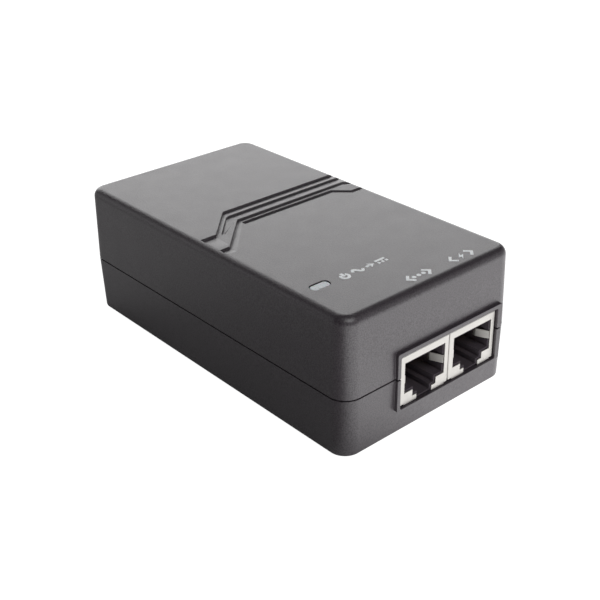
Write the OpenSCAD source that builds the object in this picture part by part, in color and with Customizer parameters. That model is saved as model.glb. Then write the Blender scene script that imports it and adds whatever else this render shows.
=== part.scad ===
// Power-over-Ethernet injector: two-part moulded case with two shielded modular
// jacks at the front, an AC inlet at the rear and the power supply board inside.
// Millimetres. Origin at the centre of the bottom face, +Z up, jacks facing -Y.

/* [Case] */

// Width of the case at the parting line
body_w = 55; // [55:0.5:60]

// Length of the case at the parting line, without the raised rims
body_l = 100.4; // [100:0.2:110]

// Overall height
body_h = 34.8; // [34:0.2:40]

// Height of the parting line between bottom case and top cover
part_z = 14.8; // [14:0.2:15.6]

// Draft of the outer walls, away from the parting line
draft_deg = 1.4; // [0.5:0.1:1.6]

// Radius of the vertical corners at the parting line
corner_r = 4.6; // [3:0.1:6]

// Radius of the edge round the top face
edge_r = 2.2; // [1:0.1:2.4]

// Wall thickness
wall_t = 2.2; // [1.8:0.1:2.2]

// Height of the shadow gap at the parting line
part_gap = 0.3; // [0.2:0.05:0.5]

// How far the rims round the ports stand out of the walls
rim_proud = 0.8; // [0.4:0.1:1.5]

/* [Top decoration] */

// Depth of the stepped grooves across the top
groove_depth = 0.6; // [0.3:0.05:0.8]

/* [Jacks] */

// Distance between the middles of the two jacks
jack_pitch = 16.1; // [16.1:0.1:16.3]

// Middle of the left jack across the case
lan_x = -2.6; // [-3:0.1:-2.4]

// How far the jack faces stand back from the rim's face
jack_recess = 0.65; // [0.4:0.05:1]

/* [Board] */

// Height of the board's upper face
board_z = 6.2; // [6:0.1:6.3]

// Board thickness
board_t = 1.6; // [1:0.2:1.6]

/* [Hidden] */

$fn = 64;
eps = 0.01;

poe_x = lan_x + jack_pitch;
roof_z = body_h - wall_t;
front_y = -body_l / 2;
rear_y = body_l / 2;
rim_front_y = front_y - rim_proud;
rim_rear_y = rear_y + rim_proud;

// parting: the two shells meet at a tongue inside the shadow gap
bottom_top_z = part_z - part_gap / 2;
cover_low_z = part_z + part_gap / 2;
tongue_z = part_z + 2;
tongue_t = 1.1;
tongue_play = 0.1;
foot_chamfer = 0.2;

// jack: folded sheet shield round a moulded insert
jack_y = rim_front_y + jack_recess;
jack_w = 15.9;
jack_top_z = 19.8;
jack_low_z = 6.85;
jack_depth = 20.3;
sheet_t = 0.3;
port_w = 13.1;
port_low_z = 9.9;
port_top_z = 17.85;
latch_w = 7.7;
latch_z = 8.2;
notch_w = 5;
skin = 0.45;
insert_w = jack_w - 2 * sheet_t - 0.2;
insert_low_z = 6.9;
insert_top_z = 19.4;
insert_end = 19.9;
socket_depth = 11.3;

// contact wires of a jack
wire_count = 8;
wire_pitch = 1.02;
wire_w = 0.4;
wire_t = 0.3;
wire_slot_w = 0.62;
wire_bend_y = 2.6;
lead_z = 18.7;
spring_z = 18.3;
spring_len = 7.6;
spring_slope = 26;

// grounding fingers folded back from the sides of the port
finger_w = 2.1;
finger_low_z = 12.5;
finger_len = 3.5;
finger_tip = 0.8;
finger_slope = 22.5;
finger_x = port_w / 2 - 0.2;
finger_y = 0.18;

// rim and opening round the two jacks
rim_x0 = lan_x - 9.4;
rim_x1 = poe_x + 9.6;
rim_low_z = 6.25;
rim_top_z = 21.4;
rim_r = 0.5;
mouth_x0 = rim_x0 + 1.05;
mouth_x1 = rim_x1 - 1.45;
mouth_low_z = 6.7;
mouth_top_z = 20.3;
mouth_r = 0.4;

// AC inlet
inlet_w = 27.8;
inlet_h = 21;
inlet_z = 17.4;
inlet_low_z = inlet_z - inlet_h / 2;
inlet_y = rim_rear_y - 0.3;
inlet_depth = 19.5;
well_w = 24.6;
well_h = 16.9;
well_chamfer = 4.5;
well_depth = 17;
blade_w = 2;
blade_h = 4;
blade_gap = 0.03;
blade_spread = 7;
blade_drop = 2;
tag_t = 0.8;
tag_y = inlet_y - inlet_depth - 1.6;
inlet_rim = 1.4;
inlet_play = 0.3;

// how far a groove's steep wall leans, as a share of its depth
groove_lean = 0.35;

// case screws, driven up from below into the cover's bosses
screw_spots = [
    [-20.5, front_y + 7.7],
    [20.5, front_y + 25.7],
    [-20.5, rear_y - 6.7],
    [20.5, rear_y - 6.7]
];
boss_z = 11;
ledge_z = 9;
post_r = 4.2;
recess_r = 3.1;
boss_r = 3.2;
pilot_r = 1.4;
shank_r = 1.35;
shank_len = 11;
head_r = 2.75;
head_h = 2;
clear_r = 1.7;
notch_r = 5;

// board supports between the components
support_spots = [
    [-17, front_y + 44], [17, front_y + 40], [0, front_y + 8],
    [-17, rear_y - 20], [17, rear_y - 20], [0, rear_y - 8]
];
support_r = 2.2;

// light pipe
pipe_x = -19.55;
pipe_y = -34;
pipe_w = 5.1;
pipe_l = 2.4;
pipe_r = 1.0;
pipe_play = 0.1;
pipe_sink = 0.15;
pipe_low_z = 24;

// label on the underside
label_w = 30;
label_l = 42;
label_y = 6;
label_sink = 0.3;
label_t = 0.2;

// ---------- shared shapes ----------

// Corner radius of the outer wall at height z: the walls lean in from the parting line.
function radius_at(z) = corner_r - abs(z - part_z) * tan(draft_deg);

// A box from its low corner to its high corner.
module span(lo, hi) {
    translate(lo)
        cube(hi - lo);
}

// A rectangle with round corners, from its low corner to its high corner.
module round_rect(lo, hi, r) {
    translate([lo[0] + r, lo[1]])
        square([hi[0] - lo[0] - 2 * r, hi[1] - lo[1]]);
    translate([lo[0], lo[1] + r])
        square([hi[0] - lo[0], hi[1] - lo[1] - 2 * r]);
    for (x = [lo[0] + r, hi[0] - r])
        for (y = [lo[1] + r, hi[1] - r])
            translate([x, y])
                circle(r);
}

// Stands a profile drawn in X and Z upright, from y0 to y1.
module upright(y0, y1) {
    translate([0, y1, 0])
        rotate([90, 0, 0])
            linear_extrude(y1 - y0)
                children();
}

// Carries a profile, drawn outwards from a corner's axis, once round the case.
module round_case(z0, z1) {
    cx = body_w / 2 - corner_r;
    cy = body_l / 2 - corner_r;
    span([-cx, -cy, z0], [cx, cy, z1]);
    for (a = [0, 180])
        rotate(a) {
            translate([cx, cy, 0])
                rotate([90, 0, 0])
                    linear_extrude(2 * cy)
                        children();
            translate([-cx, cy, 0])
                rotate([90, 0, 90])
                    linear_extrude(2 * cx)
                        children();
            translate([cx, cy, 0])
                rotate_extrude(angle = 90)
                    children();
            translate([-cx, cy, 0])
                rotate(90)
                    rotate_extrude(angle = 90)
                        children();
        }
}

// Outline of the top cover's wall from the parting gap to the rounded top edge.
module cover_outline() {
    low = radius_at(cover_low_z);
    high = radius_at(body_h - edge_r);
    difference() {
        polygon([
            [0, cover_low_z], [low, cover_low_z], [high, body_h - edge_r], [high, body_h], [0, body_h]
        ]);
        translate([high - edge_r, body_h - edge_r])
            difference() {
                square(edge_r + 1);
                circle(edge_r);
            }
    }
}

// Outline of the bottom case's wall from the foot to the parting gap.
module bottom_outline() {
    polygon([
        [0, 0], [radius_at(0) - foot_chamfer, 0], [radius_at(foot_chamfer), foot_chamfer],
        [radius_at(bottom_top_z), bottom_top_z], [0, bottom_top_z]
    ]);
}

// Outline of a hollow or block set in from the outer wall by the same distance all the way up.
module inset_outline(inset, z0, z1) {
    polygon([
        [0, z0], [radius_at(z0) - inset, z0], [radius_at(z1) - inset, z1], [0, z1]
    ]);
}

// Mouth for the two jacks, cut through the front wall and rim.
module front_mouth() {
    upright(rim_front_y - 1, front_y + wall_t + 1)
        round_rect([mouth_x0, mouth_low_z], [mouth_x1, mouth_top_z], mouth_r);
}

// Mouth for the AC inlet, cut through the rear wall and rim.
module rear_mouth() {
    half_w = inlet_w / 2 + inlet_play;
    upright(rear_y - wall_t - 1, rim_rear_y + 1)
        round_rect(
            [-half_w, inlet_low_z - inlet_play],
            [half_w, inlet_z + inlet_h / 2 + inlet_play],
            mouth_r
        );
}

// Both raised rims at full height, before the shells share them out.
module rims() {
    half_w = inlet_w / 2 + inlet_play + inlet_rim;
    upright(rim_front_y, front_y + 1)
        round_rect([rim_x0, rim_low_z], [rim_x1, rim_top_z], rim_r);
    upright(rear_y - 1, rim_rear_y)
        round_rect(
            [-half_w, inlet_low_z - 0.75],
            [half_w, inlet_z + inlet_h / 2 + inlet_play + inlet_rim],
            rim_r
        );
}

// One stepped groove: a steep wall below the line of points, then a ramp back up to the top face.
// ramps holds the point where the ramp ends, for each point of the line, and shares how much of
// the full depth the groove has there.
module stepped_groove(line, ramps, shares) {
    n = len(line);
    above = body_h + 1;
    corners = [
        for (i = [0:n - 1])
            let (
                across = (ramps[i] - line[i]) / norm(ramps[i] - line[i]),
                depth = groove_depth * shares[i]
            )
                each [
                    [line[i][0], line[i][1], above],
                    [line[i][0], line[i][1], body_h],
                    concat(line[i] + across * depth * groove_lean, [body_h - depth]),
                    concat(ramps[i], [body_h]),
                    concat(ramps[i], [above])
                ]
    ];
    sides = [
        for (i = [0:n - 2], k = [0:4])
            let (a = 5 * i + k, b = 5 * i + (k + 1) % 5)
                each [[a, b, b + 5], [a, b + 5, a + 5]]
    ];
    polyhedron(corners, concat([[4, 3, 2, 1, 0]], sides, [[for (k = [0:4]) 5 * (n - 1) + k]]));
}

// The four grooves of the top face. They start inside its left edge and run out over the right one.
module top_grooves() {
    start = edge_r + 0.5 - body_w / 2;
    side = body_w / 2 + 1;
    stepped_groove(
        [[start, 2.3], [-20.3, 2.3], [-10.9, 11.9], [side, 11.9]],
        [[start, -4.1], [-21.4, -4.1], [-11.1, 9.2], [side, 9.2]],
        [1, 1, 1, 1]
    );
    stepped_groove(
        [[-18.9, 2.2], [-12.2, 8.9], [side, 8.9]],
        [[-18, 1.2], [-11.2, 6.1], [side, 6.1]],
        [1.5, 0.9, 0.8]
    );
    stepped_groove(
        [[start, -5.2], [-22, -5.2], [-11.1, 5.7], [24.3, 5.7], [side, 2]],
        [[start, -8.3], [-22.2, -8.3], [-10.8, 3.9], [23.5, 3.9], [side, 0.4]],
        [1, 1, 1, 0.8, 0.35]
    );
    stepped_groove(
        [[-11.3, 3.65], [18.4, 3.65], [22.2, -0.1], [side, -0.1]],
        [[-11.3, 2.1], [17.8, 2.1], [21.5, -1.7], [side, -1.7]],
        [1, 1, 0.8, 0.8]
    );
}

// ---------- case ----------

// Boss that hangs from the cover's roof over a case screw.
module cover_boss(spot) {
    translate([spot[0], spot[1], boss_z])
        difference() {
            cylinder(r = boss_r, h = roof_z - boss_z + eps);
            translate([0, 0, -eps])
                cylinder(r = pilot_r, h = shank_len + 2);
        }
}

module top_cover() {
    color([0.15, 0.145, 0.15]) {
        difference() {
            union() {
                round_case(cover_low_z, body_h)
                    cover_outline();
                intersection() {
                    rims();
                    span([-body_w, -body_l, cover_low_z], [body_w, body_l, body_h]);
                }
            }
            round_case(cover_low_z - 1, roof_z)
                inset_outline(wall_t, cover_low_z - 1, roof_z);
            round_case(cover_low_z - 1, tongue_z)
                inset_outline(wall_t - tongue_t - tongue_play, cover_low_z - 1, tongue_z);
            front_mouth();
            rear_mouth();
            translate([pipe_x, pipe_y, roof_z - 1])
                linear_extrude(wall_t + 2)
                    round_rect(
                        [-pipe_w / 2 - pipe_play, -pipe_l / 2 - pipe_play],
                        [pipe_w / 2 + pipe_play, pipe_l / 2 + pipe_play],
                        pipe_r + pipe_play
                    );
            top_grooves();
        }
        for (spot = screw_spots)
            cover_boss(spot);
    }
}

// Post of the bottom case with a deep recess for the screw head.
module bottom_post(spot) {
    translate([spot[0], spot[1], wall_t - eps])
        cylinder(r = post_r, h = boss_z - wall_t + eps);
}

module screw_recess(spot) {
    translate([spot[0], spot[1], -1]) {
        cylinder(r = recess_r, h = ledge_z + 1);
        cylinder(r = clear_r, h = boss_z + 2);
    }
}

module bottom_case() {
    color([0.15, 0.145, 0.15])
        difference() {
            union() {
                difference() {
                    union() {
                        round_case(0, bottom_top_z)
                            bottom_outline();
                        round_case(bottom_top_z - 1, tongue_z)
                            inset_outline(wall_t - tongue_t, bottom_top_z - 1, tongue_z);
                        intersection() {
                            rims();
                            span([-body_w, -body_l, 0], [body_w, body_l, bottom_top_z]);
                        }
                    }
                    round_case(wall_t, part_z)
                        inset_outline(wall_t, wall_t, part_z);
                    round_case(part_z - 1, tongue_z + 1)
                        inset_outline(wall_t, part_z - 1, tongue_z + 1);
                }
                for (spot = screw_spots)
                    bottom_post(spot);
                for (spot = support_spots)
                    translate([spot[0], spot[1], wall_t - eps])
                        cylinder(r = support_r, h = board_z - board_t - wall_t + eps);
            }
            front_mouth();
            rear_mouth();
            for (spot = screw_spots)
                screw_recess(spot);
            span(
                [-label_w / 2, label_y - label_l / 2, -1],
                [label_w / 2, label_y + label_l / 2, label_sink]
            );
        }
}

// Clear pill that carries the lamp's light up to the top face.
module light_pipe() {
    rod_r = 1.6;
    flange = [3.4, 2, 1];
    color([0.78, 0.82, 0.84, 0.9])
        translate([pipe_x, pipe_y, 0]) {
            translate([0, 0, roof_z - eps])
                linear_extrude(wall_t - pipe_sink + eps)
                    round_rect([-pipe_w / 2, -pipe_l / 2], [pipe_w / 2, pipe_l / 2], pipe_r);
            span([-flange[0], -flange[1], roof_z - flange[2]], [flange[0], flange[1], roof_z]);
            translate([0, 0, pipe_low_z])
                cylinder(r = rod_r, h = roof_z - flange[2] - pipe_low_z + eps);
        }
}

// Blank label in its shallow recess under the case.
module rating_label() {
    edge = 0.4;
    color([0.72, 0.73, 0.74])
        translate([0, label_y, label_sink - label_t])
            linear_extrude(label_t)
                round_rect(
                    [edge - label_w / 2, edge - label_l / 2],
                    [label_w / 2 - edge, label_l / 2 - edge],
                    1
                );
}

module case_screws() {
    slot_half = 1.6;
    color([0.55, 0.55, 0.57])
        for (spot = screw_spots)
            translate([spot[0], spot[1], 0])
                difference() {
                    union() {
                        translate([0, 0, ledge_z - head_h])
                            cylinder(r = head_r, h = head_h);
                        translate([0, 0, ledge_z - eps])
                            cylinder(r = shank_r, h = shank_len + eps);
                    }
                    for (a = [0, 90])
                        rotate(a)
                            span([-slot_half, -0.4, ledge_z - head_h - 1], [slot_half, 0.4, ledge_z - 0.9]);
                }
}

// ---------- board ----------

// Room for a screw post in the board or sheet, open to the nearer side.
module post_notch(spot) {
    side = sign(spot[0]);
    translate([spot[0], spot[1], 0]) {
        cylinder(r = notch_r, h = boss_z);
        span([min(0, side * body_w / 2), -notch_r, 0], [max(0, side * body_w / 2), notch_r, boss_z]);
    }
}

module main_board() {
    edge = 0.8;
    half_w = body_w / 2 - wall_t - edge - 0.2;
    half_l = body_l / 2 - wall_t - edge;
    color([0.12, 0.33, 0.2])
        difference() {
            span([-half_w, -half_l, board_z - board_t], [half_w, half_l, board_z]);
            for (spot = screw_spots)
                post_notch(spot);
        }
}

// Thin insulating sheet between the board's underside and the case floor.
module insulation_sheet() {
    edge = 1.5;
    half_w = body_w / 2 - wall_t - edge;
    half_l = body_l / 2 - wall_t - edge;
    color([0.82, 0.8, 0.72])
        difference() {
            span([-half_w, -half_l, wall_t], [half_w, half_l, wall_t + 0.3]);
            for (spot = screw_spots)
                post_notch(spot);
            for (spot = support_spots)
                translate([spot[0], spot[1], 0])
                    cylinder(r = support_r + 0.4, h = boss_z);
        }
}

// ---------- AC inlet ----------

module inlet_housing() {
    half_w = inlet_w / 2;
    well_x = well_w / 2;
    well_z = well_h / 2;
    back_y = inlet_y - inlet_depth;
    color([0.07, 0.07, 0.075])
        difference() {
            union() {
                upright(back_y, inlet_y)
                    round_rect([-half_w, inlet_low_z], [half_w, inlet_z + inlet_h / 2], 0.8);
                for (x = [-half_w + 2, half_w - 4])
                    span([x, back_y + 2, board_z], [x + 2, back_y + 12, inlet_low_z + 1]);
            }
            upright(inlet_y - well_depth, inlet_y + 1)
                translate([0, inlet_z])
                    polygon([
                        [-well_x, -well_z], [well_x, -well_z], [well_x, well_z - well_chamfer],
                        [well_x - well_chamfer, well_z], [well_chamfer - well_x, well_z],
                        [-well_x, well_z - well_chamfer]
                    ]);
            for (x = [-blade_spread, 0, blade_spread])
                blade_hole(x, x == 0 ? inlet_z + blade_drop : inlet_z - blade_drop);
        }
}

module blade_hole(x, z) {
    half_w = blade_w / 2 + blade_gap;
    half_h = blade_h / 2 + blade_gap;
    span(
        [x - half_w, inlet_y - inlet_depth - 1, z - half_h],
        [x + half_w, inlet_y - well_depth + 1, z + half_h]
    );
}

// Flat contact blade with a bevelled tip, and a tag behind it down to the board.
module blade(x, z, tip) {
    bevel = 0.6;
    color([0.8, 0.79, 0.74])
        translate([x - blade_w / 2, 0, 0]) {
            rotate([90, 0, 90])
                linear_extrude(blade_w)
                    polygon([
                        [tag_y, z - blade_h / 2], [inlet_y - tip - bevel, z - blade_h / 2],
                        [inlet_y - tip, z - blade_h / 2 + bevel], [inlet_y - tip, z + blade_h / 2 - bevel],
                        [inlet_y - tip - bevel, z + blade_h / 2], [tag_y, z + blade_h / 2]
                    ]);
            span([0, tag_y, board_z], [blade_w, tag_y + tag_t, z]);
        }
}

module line_pin() {
    blade(blade_spread, inlet_z - blade_drop, 1.2);
}

module neutral_pin() {
    blade(-blade_spread, inlet_z - blade_drop, 1.2);
}

module earth_pin() {
    blade(0, inlet_z + blade_drop, 0.7);
}

// ---------- mains side of the board ----------

// Two round leads under a component, a given distance apart along X.
module lead_pair(gap, z_top) {
    for (x = [-gap / 2, gap / 2])
        translate([x, 0, board_z])
            cylinder(r = 0.35, h = z_top - board_z, $fn = 24);
}

module fuse() {
    color([0.2, 0.13, 0.1])
        translate([19.4, rear_y - 17.2, 0]) {
            translate([0, 0, board_z + 0.8])
                cylinder(r = 4.2, h = 7.6);
            lead_pair(5, board_z + 1.5);
        }
}

module inrush_thermistor() {
    disc_z = board_z + 6.5;
    color([0.1, 0.25, 0.16])
        translate([-19.2, rear_y - 17.2, 0]) {
            translate([0, 2, disc_z])
                rotate([90, 0, 0])
                    cylinder(r = 4.5, h = 4);
            lead_pair(5, disc_z - 2);
        }
}

module x_capacitor() {
    color([0.75, 0.62, 0.12])
        translate([-14.5, rear_y - 25.9, 0]) {
            span([-9, -4, board_z + 0.6], [9, 4, board_z + 15]);
            lead_pair(15, board_z + 1.5);
        }
}

// The common-mode choke stands on edge: its ring's axis runs along the case.
choke_x = 5;
choke_y = rear_y - 25.7;
choke_z = board_z + 10.1;
choke_in = 4.2;
choke_out = 8;
choke_half_t = 3;
winding_t = 1.1;
winding_gap = 0.05;

module choke_base() {
    color([0.1, 0.1, 0.1])
        translate([choke_x, choke_y, 0])
            span([-6, -4, board_z], [6, 4, choke_z - choke_out - winding_t]);
}

module choke_core() {
    color([0.16, 0.17, 0.17])
        translate([choke_x, choke_y, choke_z])
            rotate([90, 0, 0])
                rotate_extrude()
                    translate([choke_in, -choke_half_t])
                        square([choke_out - choke_in, 2 * choke_half_t]);
}

module choke_windings() {
    arc = 130;
    color([0.62, 0.3, 0.12])
        translate([choke_x, choke_y, choke_z])
            rotate([90, 0, 0])
                for (side = [0, 180])
                    rotate(side - arc / 2)
                        rotate_extrude(angle = arc)
                            difference() {
                                translate([choke_in - winding_t, -choke_half_t - winding_t])
                                    square([
                                        choke_out - choke_in + 2 * winding_t,
                                        2 * choke_half_t + 2 * winding_t
                                    ]);
                                translate([choke_in - winding_gap, -choke_half_t - winding_gap])
                                    square([
                                        choke_out - choke_in + 2 * winding_gap,
                                        2 * choke_half_t + 2 * winding_gap
                                    ]);
                            }
}

module bridge_rectifier() {
    color([0.08, 0.08, 0.08])
        translate([19.3, rear_y - 30, 0]) {
            span([-1.8, -7.2, board_z + 3], [1.8, 7.2, board_z + 13.5]);
            for (i = [0:3])
                span(
                    [-0.25, -6.1 + 3.8 * i, board_z],
                    [0.25, -5.3 + 3.8 * i, board_z + 3 + eps]
                );
        }
}

// Standing electrolytic capacitor with the crimp near its top.
module can_capacitor(r, h) {
    crimp = 0.5;
    crimp_z = h - 3;
    rotate_extrude()
        polygon([
            [0, 0], [r, 0], [r, crimp_z - 1], [r - crimp, crimp_z - 0.4],
            [r - crimp, crimp_z + 0.4], [r, crimp_z + 1], [r, h], [r - 1, h],
            [r - 1, h - 0.3], [0, h - 0.3]
        ]);
}

module bulk_capacitor() {
    color([0.1, 0.12, 0.2])
        translate([-14.5, rear_y - 41.2, board_z])
            can_capacitor(9, 25);
}

// ---------- transformer ----------

mid_x = 7;
mid_y = rear_y - 45.2;
core_half = [11, 3.5];
core_low_z = board_z + 2;
core_h = 20;
core_leg = 3.2;
centre_leg = 3.25;

module transformer_core() {
    window_lo = core_low_z + core_leg;
    window_hi = core_low_z + core_h - core_leg;
    color([0.13, 0.13, 0.14])
        translate([mid_x, mid_y, 0])
            difference() {
                span(
                    [-core_half[0], -core_half[1], core_low_z],
                    [core_half[0], core_half[1], core_low_z + core_h]
                );
                for (side = [0, 180])
                    rotate(side)
                        span(
                            [centre_leg, -core_half[1] - 1, window_lo],
                            [core_half[0] - core_leg, core_half[1] + 1, window_hi]
                        );
            }
}

module transformer_bobbin() {
    play = 0.1;
    window_lo = core_low_z + core_leg + play;
    window_hi = core_low_z + core_h - core_leg - play;
    flange = [7.6, 8.8];
    flange_t = 0.8;
    tube = [4.1, 4.4];
    pin_x = 7.5;
    color([0.09, 0.09, 0.1])
        translate([mid_x, mid_y, 0]) {
            difference() {
                union() {
                    span([-tube[0], -tube[1], window_lo], [tube[0], tube[1], window_hi]);
                    span([-flange[0], -flange[1], window_lo], [flange[0], flange[1], window_lo + flange_t]);
                    span([-flange[0], -flange[1], window_hi - flange_t], [flange[0], flange[1], window_hi]);
                }
                span(
                    [-centre_leg - play, -core_half[1] - play, window_lo - 1],
                    [centre_leg + play, core_half[1] + play, window_hi + 1]
                );
            }
            for (side = [0, 180])
                rotate(side)
                    span([-7, core_half[1] + play, board_z + 0.5], [7, flange[1], window_lo + eps]);
            span([-9, -9.4, board_z + 0.5], [9, 9.4, core_low_z]);
            for (side = [0, 180])
                rotate(side)
                    for (i = [0:4])
                        translate([pin_x - 3.75 * i, 9, board_z])
                            cylinder(r = 0.35, h = 1, $fn = 24);
        }
}

module transformer_winding() {
    play = 0.1;
    low = core_low_z + core_leg + 1;
    high = core_low_z + core_h - core_leg - 1;
    color([0.8, 0.66, 0.16])
        translate([mid_x, mid_y, 0])
            difference() {
                translate([0, 0, low])
                    linear_extrude(high - low)
                        round_rect([-7.3, -8.5], [7.3, 8.5], 3);
                span([-4.1 - play, -4.4 - play, low - 1], [4.1 + play, 4.4 + play, high + 1]);
            }
}

// ---------- power semiconductors ----------

tab_hole_z = board_z + 18;
heatsink_top_z = board_z + 21.5;
leg_pitch = 2.54;
leg_w = 0.8;

// Three-legged power package standing with its tab against a heatsink in the plane x = 0.
module power_package() {
    half_w = 5;
    low = board_z + 5.5;
    body_top = low + 9;
    tab_top = low + 15.5;
    tab_t = 1.3;
    body_t = 4.5;
    leg_x = 2.4;
    leg_t = 0.5;
    difference() {
        union() {
            span([-tab_t, -half_w, low], [0, half_w, tab_top]);
            span([-body_t, -half_w, low], [eps - tab_t, half_w, body_top]);
        }
        translate([-body_t - 0.5, 0, tab_hole_z])
            rotate([0, 90, 0])
                cylinder(r = 1.8, h = body_t + 1.5);
    }
    for (y = [-leg_pitch, 0, leg_pitch])
        span([-leg_x - leg_t, y - leg_w / 2, board_z], [-leg_x, y + leg_w / 2, low + eps]);
}

hot_x = 21;
hot_y = rear_y - 54.1;
cold_x = -21.3;
cold_y = front_y + 30.2;

module switching_transistor() {
    color([0.07, 0.07, 0.07])
        translate([hot_x, hot_y, 0])
            power_package();
}

module output_diode() {
    color([0.07, 0.07, 0.07])
        translate([cold_x, cold_y, 0])
            rotate(180)
                power_package();
}

// Folded plate with a screw hole for the package it cools. Local x = 0 is the package side.
module heatsink_plate(y0, y1) {
    t = 1.5;
    fold = 3;
    difference() {
        union() {
            span([0, y0, board_z], [t, y1, heatsink_top_z]);
            span([0, y0, board_z], [fold, y0 + t, heatsink_top_z]);
            span([0, y1 - t, board_z], [fold, y1, heatsink_top_z]);
        }
        translate([-1, 0, tab_hole_z])
            rotate([0, 90, 0])
                cylinder(r = 1.6, h = 4);
    }
}

module primary_heatsink() {
    color([0.75, 0.75, 0.77])
        translate([hot_x, hot_y, 0])
            heatsink_plate(-6, 15.2);
}

module secondary_heatsink() {
    color([0.75, 0.75, 0.77])
        translate([cold_x, cold_y, 0])
            rotate(180)
                heatsink_plate(-7.5, 7.5);
}

// Screw and nut in one piece, clamping a package's tab to its heatsink.
module clamp_screw() {
    translate([0, 0, tab_hole_z])
        rotate([0, 90, 0]) {
            translate([0, 0, -3.3])
                cylinder(r = 2.6, h = 2);
            translate([0, 0, -1.4])
                cylinder(r = 1.45, h = 4);
            translate([0, 0, 1.5])
                cylinder(r = 2.7, h = 1.2, $fn = 6);
        }
}

module heatsink_screws() {
    color([0.7, 0.7, 0.7]) {
        translate([hot_x, hot_y, 0])
            clamp_screw();
        translate([cold_x, cold_y, 0])
            rotate(180)
                clamp_screw();
    }
}

// ---------- small parts on the board ----------

// Dual-in-line chip with its rows of legs along Y.
module dual_in_line(pairs) {
    half_w = 3.2;
    half_l = pairs * leg_pitch / 2 - 0.25;
    leg_t = 0.5;
    span([-half_w, -half_l, board_z + 0.5], [half_w, half_l, board_z + 3.9]);
    for (side = [0, 180])
        rotate(side)
            for (i = [0:pairs - 1])
                let (y = (i - (pairs - 1) / 2) * leg_pitch)
                    span(
                        [half_w - eps, y - leg_w / 2, board_z],
                        [half_w + leg_t, y + leg_w / 2, board_z + 2.3]
                    );
}

module controller_chip() {
    color([0.08, 0.08, 0.08])
        translate([-19.2, rear_y - 56.5, 0])
            dual_in_line(4);
}

module optocoupler() {
    color([0.85, 0.85, 0.82])
        translate([-8.5, rear_y - 54.6, 0])
            dual_in_line(2);
}

module y_capacitor() {
    disc_z = board_z + 7;
    color([0.15, 0.4, 0.62])
        translate([10, mid_y - 15, 0]) {
            translate([0, 1.8, disc_z])
                rotate([90, 0, 0])
                    cylinder(r = 4.5, h = 3.6);
            lead_pair(6, disc_z - 2.5);
        }
}

module output_capacitors() {
    color([0.12, 0.2, 0.32])
        for (y = [26.2, 37.2])
            translate([-10.5, front_y + y, board_z])
                can_capacitor(5, 20);
}

coil_x = 0.8;
coil_y = front_y + 36.2;

module inductor_core() {
    color([0.17, 0.17, 0.18])
        translate([coil_x, coil_y, board_z]) {
            cylinder(r = 5, h = 2);
            cylinder(r = 2, h = 13);
            translate([0, 0, 11])
                cylinder(r = 5, h = 2);
        }
}

module inductor_winding() {
    color([0.65, 0.33, 0.13])
        translate([coil_x, coil_y, board_z + 2.05])
            difference() {
                cylinder(r = 4.5, h = 8.9);
                translate([0, 0, -1])
                    cylinder(r = 2.05, h = 12);
            }
}

// Moulded block of signal transformers between the two jacks' data pairs.
module data_transformer() {
    color([0.07, 0.07, 0.08])
        translate([8, front_y + 26.3, 0]) {
            span([-7.6, -3.9, board_z + 0.3], [7.6, 3.9, board_z + 6]);
            for (side = [0, 180])
                rotate(side)
                    for (i = [0:11])
                        span(
                            [-7.2 + 1.27 * i, 3.9 - eps, board_z],
                            [-6.8 + 1.27 * i, 4.6, board_z + 0.8]
                        );
        }
}

spacer_h = 12;

// Power lamp on a spacer under the light pipe.
module power_led() {
    low = board_z + spacer_h;
    r = 1.5;
    gap = 0.3;
    color([0.6, 0.85, 0.6, 0.9])
        translate([pipe_x, pipe_y, 0]) {
            translate([0, 0, low])
                cylinder(r = r + 0.4, h = 1);
            translate([0, 0, low])
                cylinder(r = r, h = pipe_low_z - gap - r - low);
            translate([0, 0, pipe_low_z - gap - r])
                sphere(r);
        }
}

module led_spacer() {
    color([0.9, 0.9, 0.88])
        translate([pipe_x, pipe_y, board_z])
            cylinder(r = 2.4, h = spacer_h);
}

// ---------- jacks: drawn at x = 0 with the shield's face at y = 0 ----------

// Stepped mouth of a jack: plug, latch and latch tab, shrunk all round by inset.
module port_shape(inset, low_z) {
    translate([-port_w / 2 + inset, port_low_z + inset])
        square([port_w - 2 * inset, port_top_z - port_low_z - 2 * inset]);
    translate([-latch_w / 2 + inset, latch_z + inset])
        square([latch_w - 2 * inset, port_low_z - latch_z + 1]);
    translate([-notch_w / 2 + inset, low_z])
        square([notch_w - 2 * inset, latch_z - low_z + 1]);
}

module jack_shield() {
    half = jack_w / 2;
    foot = 6.7;
    step_z = jack_low_z + 0.3;
    color([0.82, 0.81, 0.79])
        difference() {
            union() {
                span([-half, 0, step_z], [half, jack_depth, jack_top_z]);
                span([-foot, 0, jack_low_z], [foot, sheet_t, step_z + eps]);
                for (side = [-half, half - sheet_t])
                    span([side, 9, board_z], [side + sheet_t, 10.5, step_z + eps]);
            }
            span(
                [sheet_t - half, sheet_t, 0],
                [half - sheet_t, jack_depth - sheet_t, jack_top_z - sheet_t]
            );
            span([-half - 1, jack_depth - 2, 0], [half + 1, jack_depth + 1, board_z + 2]);
            upright(-1, 1)
                port_shape(0, 0);
        }
}

// Slots for one contact wire: open to the socket at the front and to the back at the rear.
module wire_slots(x) {
    half = wire_slot_w / 2;
    span([x - half, wire_bend_y - 0.7, port_top_z - skin - 1], [x + half, socket_depth, lead_z + 0.4]);
    span([x - half, socket_depth - 1, lead_z - 0.4], [x + half, insert_end - 3, lead_z + 0.4]);
    span([x - half, insert_end - 3.3, 0], [x + half, insert_end + 1, lead_z + 0.4]);
}

function wire_x(i) = (i - (wire_count - 1) / 2) * wire_pitch;

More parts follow.
